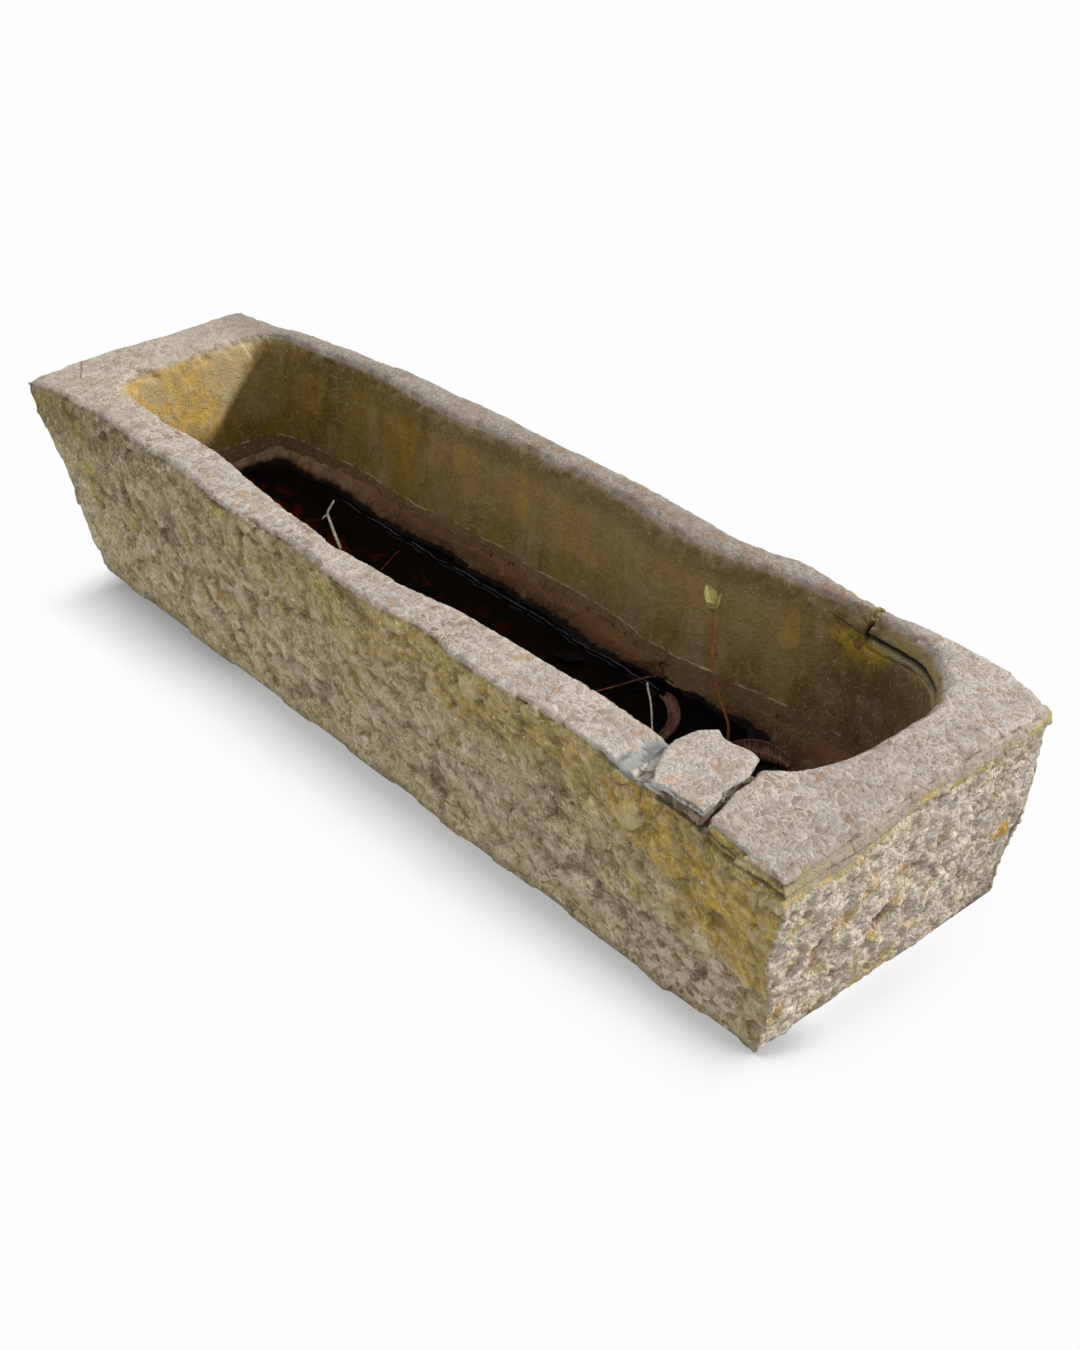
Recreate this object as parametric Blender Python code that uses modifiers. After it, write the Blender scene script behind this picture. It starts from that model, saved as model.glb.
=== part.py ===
"""Old farm water trough, hewn from one block of bedded limestone.

Mud, shallow water, twigs, leaves and one seedling lie in its hollow. The top bed of the stone has
split off round the right end, and a flake lies loose on the near rim.

Units are metres. +X runs along the trough to the end with the rounded hollow, -Y is the near long
side, +Z is up, and the origin is the middle of the flat underside. A table whose name ends in
shares holds numbers without a unit, and the line that uses it says what they are shares of.
"""

import math

import bmesh
import bpy
from mathutils import Matrix, Vector, noise
from mathutils.bvhtree import BVHTree

# Outside of the block
LENGTH = 2.000
WIDTH = 0.531
HEIGHT = 0.372
LEFT_BATTER = 0.152
RIGHT_BATTER = 0.077
NEAR_BATTER = 0.0255
FAR_BATTER = 0.021
EDGE_WANDER = 0.020
CORNER_WEAR = 0.016
CORNER_REACH = 0.110

# Hewn relief of the outside: its height on each face and the spacing of its lumps
SIDE_RELIEF = 0.0085
END_RELIEF = 0.0120
RIM_RELIEF = 0.0035
RELIEF_PITCH = 0.130
RIM_PITCH = 0.240

# Hollow
NEAR_WALL = 0.0905
FAR_WALL = 0.0550
LEFT_WALL = 0.1450
RIGHT_WALL = 0.1120
LEFT_CORNER_RADIUS = 0.055
NEAR_RIGHT_RADIUS = 0.165
FAR_RIGHT_RADIUS = 0.135
ROUND_END_share = 0.97
FLOOR_LEVEL = 0.090
FLOOR_FILLET = 0.040
LIP_DEPTH = 0.022
LIP_FLARE = 0.007
WALL_RELIEF = 0.0035
WALL_PITCH = 0.160
WALL_SLOPE_share = 0.20

# Split bed round the right end, and the fresh scar beside it. On the near side the bed starts under
# the flake, a share of the flake's length left of its middle.
BED_AHEAD_share = 0.294
BED_DEPTH_NEAR_LEFT = 0.0135
BED_DEPTH_NEAR_RIGHT = 0.0355
BED_DEPTH_FAR_LEFT = 0.0500
BED_DEPTH_FAR_RIGHT = 0.0270
BED_RELIEF = 0.0015
BED_PITCH = 0.090
SCAR_DEPTH = 0.0140
SCAR_LENGTH = 0.0720
SCAR_LAP = 0.0030

# Loose flake and the thin layer under it
FLAKE_LENGTH = 0.160
FLAKE_WIDTH = 0.152
FLAKE_THICKNESS = 0.0095
FLAKE_SINK = 0.0045
FLAKE_EDGE = 0.0020
FLAKE_CLEARANCE = 0.0014
FLAKE_FROM_END = 0.2090
FLAKE_FROM_SIDE = 0.0640

# Mud and water
CRUST_LEVEL = 0.168
LEFT_CRUST_DROP = 0.026
POOL_LEVEL = 0.127
POOL_DEPTH = 0.020
BASIN_RUN = 0.030
POOL_LEFT_BANK = 0.034
POOL_RIGHT_BANK = 0.285
POOL_SIDE_BANK = 0.036
SHORE_WANDER = 0.006
SHORE_PITCH = 0.060
# Where the bank bends between crust and shore, and where the pool's side bends above its bottom
BANK_REACH_share = 0.55
BANK_RISE_share = 0.32
DIP_share = 0.70

# Litter; a twig thins to a share of its radius at its far end
THIN_END_share = 0.60
FORKED_TWIG_RADIUS = 0.0038
FORK_RADIUS = 0.0020
ROOT_RADIUS = 0.0010
RED_TWIG_RADIUS = 0.0021
PALE_STICK_RADIUS = 0.0023
CURLED_LEAF_RADIUS = 0.0105
CURLED_LEAF_SKIN = 0.0013
BARK_RADIUS = 0.0165
BARK_SKIN = 0.0016
# A rolled leaf or strip turns this many degrees to each side, and narrows towards its ends
ROLL_DEGREES = 118
ROLL_START_share = 0.16
ROLL_END_share = 0.90
WET_LEAF_LENGTH = 0.062
WET_LEAF_WIDTH = 0.030
WET_LEAF_SKIN = 0.0010
WET_LEAF_RISE = 0.0060

# Seedling
STEM_RADIUS = 0.0016
STEM_HEIGHT = 0.218
STEM_SWAY = 0.040
TOP_LEAF_LENGTH = 0.040
TOP_LEAF_WIDTH = 0.022
SIDE_LEAF_LENGTH = 0.020
SIDE_LEAF_WIDTH = 0.008
LEAF_SKIN = 0.0009
# Rise of a leaf's rims as a share of its width, and of its tip as a share of its length
top_leaf_form_shares = (0.22, 0.08)
side_leaf_form_shares = (0.12, 0.12)

# Clearance between neighbouring pieces, and how far a cutter runs past what it cuts
GAP = 0.0003
WALL_GAP = 0.0006
SHORE_GAP = 0.0014
OVERRUN = 0.060

# Counts
COLUMNS, ROWS, COURSES = 40, 10, 7
LONG_STATIONS, END_STATIONS = 16, 5
CORNER_STEPS, WIDE_CORNER_STEPS = 4, 8
JOINT_CELLS = 8

# Fixes the hewn relief, which otherwise differs at each run
RELIEF_SEED = 5

# Wander of the long edges: (share of half the length, share of EDGE_WANDER), outwards positive
near_edge_shares = (
    (-1.00, 0.00), (-0.92, -0.75), (-0.73, -1.12), (-0.55, -0.68), (-0.38, -0.57), (-0.30, 0.05),
    (-0.10, -0.25), (0.13, 0.58), (0.27, -0.43), (0.34, 0.28), (0.60, 0.22), (0.72, 0.80),
    (0.76, 0.00), (0.87, 0.22), (1.00, 0.90),
)
far_edge_shares = (
    (-1.00, -1.80), (-0.89, -1.60), (-0.75, -0.53), (-0.59, 0.38), (-0.44, 0.90), (-0.26, 1.10),
    (-0.13, 0.78), (0.10, 0.70), (0.30, 0.23), (0.43, 0.08), (0.51, 0.70), (0.60, 0.23),
    (0.68, -0.45), (0.75, 0.00), (0.87, 0.23), (0.93, -0.20), (1.00, -1.60),
)
# The same for the hollow's long edges, with the wall growing positive
near_wall_shares = (
    (-0.85, 1.40), (-0.60, 0.90), (-0.46, 1.05), (-0.33, 0.15), (-0.17, -0.60), (-0.03, -1.10),
    (0.15, -0.80), (0.29, 0.00), (0.57, 0.15), (0.69, -0.40), (0.80, 0.00),
)
far_wall_shares = (
    (-0.86, 0.60), (-0.74, 0.25), (-0.58, -0.60), (-0.40, -0.13), (-0.30, -0.13), (-0.10, -0.80),
    (0.00, -0.48), (0.10, -0.70), (0.29, 0.50), (0.40, 0.60), (0.48, -0.50), (0.64, -0.95),
    (0.70, -1.10), (0.76, -0.60),
)
# How worn each upper corner is: (side along X, side along Y, share of CORNER_WEAR)
corner_wear_shares = ((1, -1, 1.00), (-1, -1, 0.35), (-1, 1, 0.45), (1, 1, 0.55))

# Plan of the split bed: shares of its run, measured back from the right end, and of half the width
bed_seat_shares = (
    (1.000, -1.20), (1.008, -0.75), (1.035, -0.35), (1.238, 0.35), (1.242, 0.80), (1.211, 1.20),
    (-0.39, 1.20), (-0.39, -1.20),
)
bed_slab_shares = (
    (0.572, -1.20), (0.585, -1.00), (0.664, -0.90), (0.801, -0.45), (1.094, 0.00), (1.232, 0.35),
    (1.236, 0.80), (1.205, 1.20), (-0.39, 1.20), (-0.39, -1.20),
)
# Outlines of the flake and the layer under it, as shares of the flake's length and width
flake_shares = (
    (-0.18, -0.46), (-0.03, -0.43), (0.11, -0.45), (0.25, -0.43), (0.385, -0.45), (0.355, -0.29),
    (0.265, -0.01), (0.27, 0.20), (0.175, 0.42), (0.075, 0.44), (-0.10, 0.405), (-0.21, 0.41),
    (-0.33, 0.47), (-0.44, 0.32), (-0.47, 0.09), (-0.40, -0.12), (-0.31, -0.30),
)
lamina_shares = (
    (-0.12, -0.42), (-0.04, -0.44), (0.02, -0.41), (0.09, -0.44), (0.16, -0.415), (0.25, -0.44),
    (0.345, -0.425), (0.31, -0.24), (0.24, -0.05), (0.20, 0.08), (0.10, 0.50), (-0.17, 0.50),
    (-0.21, 0.10), (-0.17, -0.20),
)

# Routes in the hollow: from -1 at its left and near edges to 1 at its right and far edges
forked_twig_shares = (
    (-0.462, 0.012), (-0.515, 0.118), (-0.564, 0.217), (-0.605, 0.305), (-0.617, 0.355), (-0.637, 0.488),
)
forked_twig_lift_shares = (0.0, 0.4, 0.8, 1.2, 1.7, 3.1)
fork_shares = ((-0.605, 0.305), (-0.597, 0.243), (-0.589, 0.191))
fork_lift_shares = (3.0, 4.0, 5.0)
root_shares = ((-0.336, 0.073), (-0.349, 0.211), (-0.359, 0.307), (-0.373, 0.418))
root_lift_shares = (0.0, 4.0, 6.0, 0.5)
red_twig_shares = (
    (0.290, -0.040), (0.314, 0.186), (0.334, 0.390), (0.352, 0.581), (0.369, 0.712),
)
red_twig_lift_shares = (0.0, 1.6, 3.6, 5.4, 3.0)
pale_stick_shares = (
    (0.352, 0.560), (0.371, 0.490), (0.395, 0.412), (0.418, 0.328), (0.455, 0.179), (0.477, 0.090),
)
pale_stick_lift_shares = (0.6, 0.9, 0.7, 0.4, 0.2, 0.0)
curled_leaf_shares = (
    (0.404, 0.512), (0.419, 0.500), (0.441, 0.454), (0.466, 0.378), (0.487, 0.270), (0.499, 0.130),
    (0.500, 0.020),
)
bark_shares = ((0.606, 0.352), (0.630, 0.404), (0.655, 0.452), (0.685, 0.486), (0.716, 0.505))
# Fallen leaves, each by its place and its turn in degrees
wet_leaf_shares = (
    (0.153, 0.294, 20), (0.239, -0.065, 70), (0.337, -0.175, 15), (0.635, -0.023, 40),
    (0.807, 0.018, 75), (0.715, -0.312, 330), (0.503, -0.395, 200),
)

# Seedling: its foot, then the stem as (share of its height, share of its sway along X)
seedling_foot_shares = (0.582, 0.459)
stem_shares = ((0.0, 0.00), (0.12, 0.03), (0.20, -0.10), (0.32, -0.45), (0.52, -0.86), (0.66, -0.95),
               (0.82, -0.86), (1.0, -0.80))
side_leaf_height_share = 0.52
# Leaves round the stem: (turn in degrees, rise in degrees, share of the full size)
top_leaf_turns = ((170, 56, 1.0), (42, 68, 0.78), (282, 38, 0.50))
side_leaf_turns = ((226, 14, 1.0), (158, 60, 0.65))

# Colours
STONE = (0.30, 0.27, 0.20)
BED_STONE = (0.47, 0.42, 0.37)
FLAKE_STONE = (0.44, 0.42, 0.39)
LAMINA_STONE = (0.20, 0.16, 0.12)
MUD = (0.15, 0.10, 0.08)
WATER = (0.008, 0.007, 0.006)
PALE_WOOD = (0.42, 0.33, 0.24)
RED_WOOD = (0.16, 0.05, 0.03)
DRY_LEAF = (0.22, 0.10, 0.08)
BARK = (0.23, 0.12, 0.09)
WET_LEAF = (0.02, 0.015, 0.012)
STEM = (0.28, 0.10, 0.03)
GREEN_LEAF = (0.33, 0.33, 0.07)


def start_empty():
    """Remove what the scene holds and return the collections for the trough and its cutters."""
    for old in list(bpy.data.objects):
        bpy.data.objects.remove(old, do_unlink=True)
    made = []
    for name in ("water_trough", "cutters"):
        collection = bpy.data.collections.new(name)
        bpy.context.scene.collection.children.link(collection)
        made.append(collection)
    return made


def finish_of(name, colour, roughness=0.85):
    material = bpy.data.materials.new(name)
    material.use_nodes = True
    shader = material.node_tree.nodes["Principled BSDF"]
    shader.inputs["Base Color"].default_value = (*colour, 1.0)
    shader.inputs["Roughness"].default_value = roughness
    shader.inputs["Metallic"].default_value = 0.0
    return material


def object_from(bm, name, collection):
    mesh = bpy.data.meshes.new(name)
    bm.to_mesh(mesh)
    bm.free()
    made = bpy.data.objects.new(name, mesh)
    collection.objects.link(made)
    return made


def as_cutter(made):
    made.hide_render = True
    made.display_type = "WIRE"
    return made


def flat_cells(made):
    """Split twisted cells into true planes, so that cuts through them are exact."""
    made.modifiers.new("flat_cells_" + str(len(made.modifiers)), "TRIANGULATE")
    return made


def follow(table, at):
    """Value of a table at one place, eased between its points and held past its ends."""
    if at <= table[0][0]:
        return table[0][1]
    for (x0, v0), (x1, v1) in zip(table, table[1:]):
        if at <= x1:
            t = (at - x0) / (x1 - x0)
            return v0 + (v1 - v0) * t * t * (3 - 2 * t)
    return table[-1][1]


def mix(a, b, t):
    return a + (b - a) * t


def smooth_route(points, steps):
    """Catmull-Rom points through a list of vectors."""
    ends = [points[0] * 2 - points[1], *points, points[-1] * 2 - points[-2]]
    route = []
    for i in range(1, len(ends) - 2):
        a, b, c, d = ends[i - 1:i + 3]
        for step in range(steps):
            t = step / steps
            route.append((b * 2 + (c - a) * t + (a * 2 - b * 5 + c * 4 - d) * t ** 2
                          + (b * 3 - a - c * 3 + d) * t ** 3) / 2)
    return route + [points[-1]]


def cell_block(columns, rows, courses):
    """A unit block from 0 to 1 on each axis, divided into cells."""
    bm = bmesh.new()
    bmesh.ops.create_cube(bm, size=1.0, matrix=Matrix.Translation((0.5, 0.5, 0.5)))
    for axis, count in enumerate((columns, rows, courses)):
        direction = Vector((0, 0, 0))
        direction[axis] = 1
        for i in range(1, count):
            everything = bm.verts[:] + bm.edges[:] + bm.faces[:]
            place = direction * (i / count)
            bmesh.ops.bisect_plane(bm, geom=everything, plane_co=place, plane_no=direction)
    return bm


# Stone

def rim_height(x, y):
    """Height of the rim, worn down towards each upper corner."""
    worn = 0
    for side_x, side_y, share in corner_wear_shares:
        away = Vector((x - side_x * LENGTH / 2, y - side_y * WIDTH / 2)) / CORNER_REACH
        worn += share * math.exp(-away.length_squared)
    return HEIGHT - CORNER_WEAR * worn


def block_point(s, t, w):
    """Place of one point of the hewn block, from its shares along, across and up."""
    x = mix(-LENGTH / 2 + LEFT_BATTER * (1 - w), LENGTH / 2 - RIGHT_BATTER * (1 - w), s)
    along = x / (LENGTH / 2)
    near = -WIDTH / 2 + NEAR_BATTER * (1 - w) - EDGE_WANDER * w * follow(near_edge_shares, along)
    far = WIDTH / 2 - FAR_BATTER * (1 - w) + EDGE_WANDER * w * follow(far_edge_shares, along)
    y = mix(near, far, t)
    place = Vector((x, y, rim_height(x, y) * w))
    lumps = noise.noise_vector(place / RELIEF_PITCH)
    if s in (0, 1):
        place.x += END_RELIEF * lumps.x
    if t in (0, 1):
        place.y += SIDE_RELIEF * lumps.y
    if w == 1:
        place.z += RIM_RELIEF * noise.noise(place / RIM_PITCH)
    return place


def hewn_blank():
    """The block before the hollow is cut, with a flat underside in one face."""
    bm = cell_block(COLUMNS, ROWS, COURSES)
    for vert in bm.verts:
        s, t, w = (round(c * n) / n for c, n in zip(vert.co, (COLUMNS, ROWS, COURSES)))
        vert.co = block_point(s, t, w)
    underside = [f for f in bm.faces if all(v.co.z == 0 for v in f.verts)]
    bmesh.ops.dissolve_faces(bm, faces=underside)
    return bm


def rounded_ring(left, right, near, far, left_radius, near_right_radius, far_right_radius):
    """Plan outline of the hollow, counter-clockwise from the near left corner."""
    corners = (
        (right - near_right_radius, near + near_right_radius, near_right_radius, -90, WIDE_CORNER_STEPS),
        (right - far_right_radius, far - far_right_radius, far_right_radius, 0, WIDE_CORNER_STEPS),
        (left + left_radius, far - left_radius, left_radius, 90, CORNER_STEPS),
        (left + left_radius, near + left_radius, left_radius, 180, CORNER_STEPS),
    )
    arcs = []
    for x, y, radius, start, steps in corners:
        angles = [math.radians(start + 90 * i / steps) for i in range(steps + 1)]
        arcs.append([Vector((x + radius * math.cos(a), y + radius * math.sin(a))) for a in angles])
    ring = []
    for arc, following, stations in zip(arcs, arcs[1:] + arcs[:1],
                                        (END_STATIONS, LONG_STATIONS, END_STATIONS, LONG_STATIONS)):
        ring += arc
        ring += [arc[-1].lerp(following[0], i / stations) for i in range(1, stations)]
    return ring


def hollow_ring(z, inset):
    """One level of the hollow, its walls drawn in by inset from where they meet the rim."""
    near, far = -WIDTH / 2 + NEAR_WALL, WIDTH / 2 - FAR_WALL
    right_radii = [radius - inset / 2 for radius in (NEAR_RIGHT_RADIUS, FAR_RIGHT_RADIUS)]
    # The two rounded corners never take more than their share of the hollow's width
    fit = min(1, ROUND_END_share * (far - near - 2 * inset) / sum(right_radii))
    plan = rounded_ring(-LENGTH / 2 + LEFT_WALL + inset, LENGTH / 2 - RIGHT_WALL - inset,
                        near + inset, far - inset, LEFT_CORNER_RADIUS - inset / 2,
                        *(radius * fit for radius in right_radii))
    ring = []
    for p in plan:
        along, across = p.x / (LENGTH / 2), (p.y - near) / (far - near)
        wander = mix(follow(near_wall_shares, along), -follow(far_wall_shares, along), across)
        place = Vector((p.x, p.y + EDGE_WANDER * wander, z))
        lumps = noise.noise_vector(place / WALL_PITCH)
        ring.append(place + Vector((WALL_RELIEF * lumps.x, WALL_RELIEF * lumps.y, 0)))
    return ring


def hollow_levels():
    """Rings of the hollow from above the rim down to its floor."""
    wall_foot = FLOOR_LEVEL + FLOOR_FILLET
    foot_inset = WALL_SLOPE_share * (HEIGHT - wall_foot)
    return [
        hollow_ring(HEIGHT + OVERRUN, -LIP_FLARE - OVERRUN * LIP_FLARE / LIP_DEPTH),
        hollow_ring(HEIGHT, -LIP_FLARE),
        hollow_ring(HEIGHT - LIP_DEPTH, WALL_SLOPE_share * LIP_DEPTH),
        hollow_ring((HEIGHT + CRUST_LEVEL) / 2, WALL_SLOPE_share * (HEIGHT - CRUST_LEVEL) / 2),
        hollow_ring(CRUST_LEVEL, WALL_SLOPE_share * (HEIGHT - CRUST_LEVEL)),
        hollow_ring(wall_foot, foot_inset),
        hollow_ring(FLOOR_LEVEL + FLOOR_FILLET * (1 - math.sin(math.radians(45))),
                    foot_inset + FLOOR_FILLET * (1 - math.cos(math.radians(45)))),
        hollow_ring(FLOOR_LEVEL, foot_inset + FLOOR_FILLET),
    ]


def loft(rings):
    """A closed skin over rings of equal count, with both ends capped."""
    bm = bmesh.new()
    rows = [[bm.verts.new(p) for p in ring] for ring in rings]
    for row, following in zip(rows, rows[1:]):
        for i in range(len(row)):
            j = (i + 1) % len(row)
            bm.faces.new((row[i], row[j], following[j], following[i]))
    bm.faces.new(rows[0])
    bm.faces.new(rows[-1])
    bmesh.ops.recalc_face_normals(bm, faces=bm.faces[:])
    return bm


def plate(outline, low, high):
    """An upright prism on a plan outline."""
    bm = bmesh.new()
    foot = bm.faces.new([bm.verts.new((x, y, low)) for x, y in outline])
    raised = bmesh.ops.extrude_face_region(bm, geom=[foot])["geom"]
    bmesh.ops.translate(bm, verts=[v for v in raised if isinstance(v, bmesh.types.BMVert)],
                        vec=(0, 0, high - low))
    bmesh.ops.recalc_face_normals(bm, faces=bm.faces[:])
    return bm


def bed_run():
    """How far the split bed reaches back from the right end on the near side."""
    return FLAKE_FROM_END + BED_AHEAD_share * FLAKE_LENGTH


def plan_of(shares):
    return [(LENGTH / 2 - x * bed_run(), y * WIDTH / 2) for x, y in shares]


def joint_depth(x, y):
    """How deep the bedding joint lies under the rim at a place in plan."""
    s = (x - LENGTH / 2) / bed_run() + 1
    near = mix(BED_DEPTH_NEAR_LEFT, BED_DEPTH_NEAR_RIGHT, s)
    far = mix(BED_DEPTH_FAR_LEFT, BED_DEPTH_FAR_RIGHT, s)
    return mix(near, far, y / WIDTH + 0.5)


def above_joint(name, lift, collection):
    """Everything above the bedding joint, raised by lift."""
    left = LENGTH / 2 - bed_seat_shares[4][0] * bed_run() - OVERRUN
    bm = cell_block(JOINT_CELLS, JOINT_CELLS, 1)
    for vert in bm.verts:
        s, t, w = vert.co
        x = mix(left, LENGTH / 2 + OVERRUN, s)
        y = mix(-WIDTH / 2 - OVERRUN, WIDTH / 2 + OVERRUN, t)
        waves = BED_RELIEF * noise.noise(Vector((x, y, 0)) / BED_PITCH)
        z = HEIGHT + OVERRUN if w > 0.5 else HEIGHT - joint_depth(x, y) + waves + lift
        vert.co = (x, y, z)
    return flat_cells(as_cutter(object_from(bm, name, collection)))


def cut(made, cutter, operation="DIFFERENCE"):
    step = made.modifiers.new(operation.lower() + "_" + cutter.name, "BOOLEAN")
    step.operation = operation
    step.object = cutter
    step.solver = "EXACT"


def below_joint():
    """A level that is lower than the bedding joint everywhere."""
    return HEIGHT - BED_DEPTH_FAR_LEFT - OVERRUN


def bed_region(name, shares, lift, collection):
    """The part of the plan inside an outline, above the bedding joint."""
    region = object_from(plate(plan_of(shares), below_joint(), HEIGHT + OVERRUN / 2), name, collection)
    cut(region, above_joint(name + "_joint", lift, collection), "INTERSECT")
    return flat_cells(as_cutter(region))


def scar_cutter(collection):
    """A tilted block that leaves the fresh, sloping scar left of the flake."""
    bm = bmesh.new()
    tilt = math.atan2(SCAR_DEPTH, SCAR_LENGTH)
    reach = math.hypot(SCAR_DEPTH, SCAR_LENGTH)
    bmesh.ops.create_cube(bm, size=1.0, matrix=Matrix.Translation((0.5, 0.5, 0.5)))
    bmesh.ops.scale(bm, verts=bm.verts[:], vec=(reach, NEAR_WALL + 2 * OVERRUN, OVERRUN))
    bmesh.ops.rotate(bm, verts=bm.verts[:], matrix=Matrix.Rotation(tilt, 3, "Y"))
    corner = (LENGTH / 2 - bed_run() - SCAR_LENGTH + SCAR_LAP, -WIDTH / 2 - OVERRUN, HEIGHT)
    bmesh.ops.translate(bm, verts=bm.verts[:], vec=corner)
    return as_cutter(object_from(bm, "scar_cutter", collection))


def flake_outline(shares, grow=0.0):
    """A plan outline in the flake's own size, each point moved out by grow."""
    middle = Vector((LENGTH / 2 - FLAKE_FROM_END, -WIDTH / 2 + FLAKE_FROM_SIDE))
    points = [middle + Vector((x * FLAKE_LENGTH, y * FLAKE_WIDTH)) for x, y in shares]
    grown = []
    for before, here, after in zip(points[-1:] + points, points, points[1:] + points[:1]):
        along = (here - before).normalized() + (after - here).normalized()
        grown.append(here + Vector((along.y, -along.x)).normalized() * grow)
    return grown


def stone_pieces(trough, cutters):
    seat_level = HEIGHT - FLAKE_SINK
    hollow = flat_cells(as_cutter(object_from(loft(hollow_levels()), "hollow_cutter", cutters)))
    well_outline = flake_outline(flake_shares, FLAKE_CLEARANCE)
    well = plate(well_outline, below_joint(), HEIGHT + OVERRUN)
    flake_well = as_cutter(object_from(well, "flake_well", cutters))

    block = flat_cells(object_from(hewn_blank(), "trough_block", trough))
    cut(block, hollow)
    cut(block, bed_region("bed_seat", bed_seat_shares, 0, cutters))
    cut(block, scar_cutter(cutters))

    slab = flat_cells(object_from(hewn_blank(), "end_rim_slab", trough))
    cut(slab, bed_region("bed_slab", bed_slab_shares, GAP, cutters), "INTERSECT")
    cut(slab, hollow)
    cut(slab, flake_well)

    layer = plate(flake_outline(lamina_shares), below_joint(), seat_level - GAP)
    lamina = object_from(layer, "flake_lamina", trough)
    cut(lamina, above_joint("lamina_joint", GAP, cutters), "INTERSECT")
    cut(lamina, hollow)

    flake = object_from(plate(flake_outline(flake_shares), seat_level, seat_level + FLAKE_THICKNESS),
                        "loose_flake", trough)
    worn_edge = flake.modifiers.new("worn_edge", "BEVEL")
    worn_edge.width = FLAKE_EDGE
    worn_edge.segments = 1
    worn_edge.limit_method = "ANGLE"
    worn_edge.angle_limit = math.radians(60)

    for piece, colour in ((block, STONE), (slab, BED_STONE), (lamina, LAMINA_STONE), (flake, FLAKE_STONE)):
        piece.data.materials.append(finish_of(piece.name + "_finish", colour))


# Mud and water

def drawn_in(ring, run, z):
    """The same outline, its sides moved in by run, at one level."""
    xs, ys = [p.x for p in ring], [p.y for p in ring]
    middle = Vector(((min(xs) + max(xs)) / 2, (min(ys) + max(ys)) / 2))
    shrink = Vector((1 - 2 * run / (max(xs) - min(xs)), 1 - 2 * run / (max(ys) - min(ys))))
    return [Vector((mix(middle.x, p.x, shrink.x), mix(middle.y, p.y, shrink.y), z)) for p in ring]


def wall_ring(levels, drop_at_left):
    """Where the mud meets the wall: along the crust line, lower at the left end."""
    crust, foot = levels[4], levels[5]
    ring = []
    for upper, lower in zip(crust, foot):
        leftness = max(0.0, -upper.x / (LENGTH / 2)) ** 4
        ring.append(upper.lerp(lower, leftness * drop_at_left / (upper.z - lower.z)))
    return ring


def pool_ring(crust):
    """Shore of the water, which narrows to a blunt point at the right."""
    left, right = min(p.x for p in crust), max(p.x for p in crust)
    far = max(p.y for p in crust)
    ring = []
    for p in crust:
        s = (p.x - left) / (right - left)
        x = mix(left + POOL_LEFT_BANK, right - POOL_RIGHT_BANK, s)
        y = p.y * (1 - POOL_SIDE_BANK / far)
        shore = noise.noise_vector(Vector((x, y, 0)) / SHORE_PITCH) * SHORE_WANDER
        ring.append(Vector((x + shore.x, y + shore.y, POOL_LEVEL)))
    return ring


def mud_and_water(trough):
    levels = hollow_levels()
    edge = wall_ring(levels, LEFT_CRUST_DROP)
    shore = pool_ring(levels[4])
    bank = [Vector((*e.xy.lerp(p.xy, BANK_REACH_share), mix(p.z, e.z, BANK_RISE_share)))
            for e, p in zip(edge, shore)]
    dip = drawn_in(shore, BASIN_RUN / 2, POOL_LEVEL - DIP_share * POOL_DEPTH)
    bottom = drawn_in(shore, BASIN_RUN, POOL_LEVEL - POOL_DEPTH)
    foot = [drawn_in(ring, WALL_GAP, ring[0].z + lift) for ring, lift in
            ((levels[7], GAP), (levels[6], GAP), (levels[5], 0))]
    edge = [Vector((*inner.xy, outer.z)) for inner, outer in zip(drawn_in(edge, WALL_GAP, 0), edge)]
    silt = object_from(loft([*foot, edge, bank, shore, dip, bottom]), "silt_bed", trough)
    silt.data.materials.append(finish_of("mud", MUD, 0.75))

    water = object_from(loft([
        drawn_in(shore, SHORE_GAP, POOL_LEVEL),
        drawn_in(dip, SHORE_GAP, dip[0].z + GAP),
        drawn_in(bottom, SHORE_GAP, bottom[0].z + GAP),
    ]), "standing_water", trough)
    water.data.materials.append(finish_of("dark_water", WATER, 0.05))
    return silt, water


# Litter

def in_hollow(x_share, y_share):
    """A place in plan, from -1 to 1 between the edges of the hollow."""
    return Vector((
        mix(-LENGTH / 2 + LEFT_WALL, LENGTH / 2 - RIGHT_WALL, (1 + x_share) / 2),
        mix(-WIDTH / 2 + NEAR_WALL, WIDTH / 2 - FAR_WALL, (1 + y_share) / 2),
    ))


def ground_under(pieces):
    """A function that gives the height of the mud or the water at a place in plan."""
    trees = []
    for piece in pieces:
        bm = bmesh.new()
        bm.from_mesh(piece.data)
        trees.append(BVHTree.FromBMesh(bm))
        bm.free()

    def ground(x, y):
        hits = [tree.ray_cast(Vector((x, y, HEIGHT)), Vector((0, 0, -1)))[0] for tree in trees]
        return max(hit.z for hit in hits if hit is not None)

    return ground


def lying_route(shares, lift_shares, radius, ground, steps=3):
    """Points of a tapering twig that rests on the ground, lifted by shares of its own radius."""
    plan = smooth_route([Vector((*in_hollow(x, y), radius * lift))
                         for (x, y), lift in zip(shares, lift_shares)], steps)
    around = [Vector((dx * radius, dy * radius)) for dx, dy in ((1, 0), (0, 1), (-1, 0), (0, -1))]
    route = []
    for i, p in enumerate(plan):
        top = max(ground(p.x + a.x, p.y + a.y) for a in around)
        thickness = radius * mix(1, THIN_END_share, i / (len(plan) - 1))
        route.append(Vector((p.x, p.y, top + thickness + GAP + max(0.0, p.z))))
    return route


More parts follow.
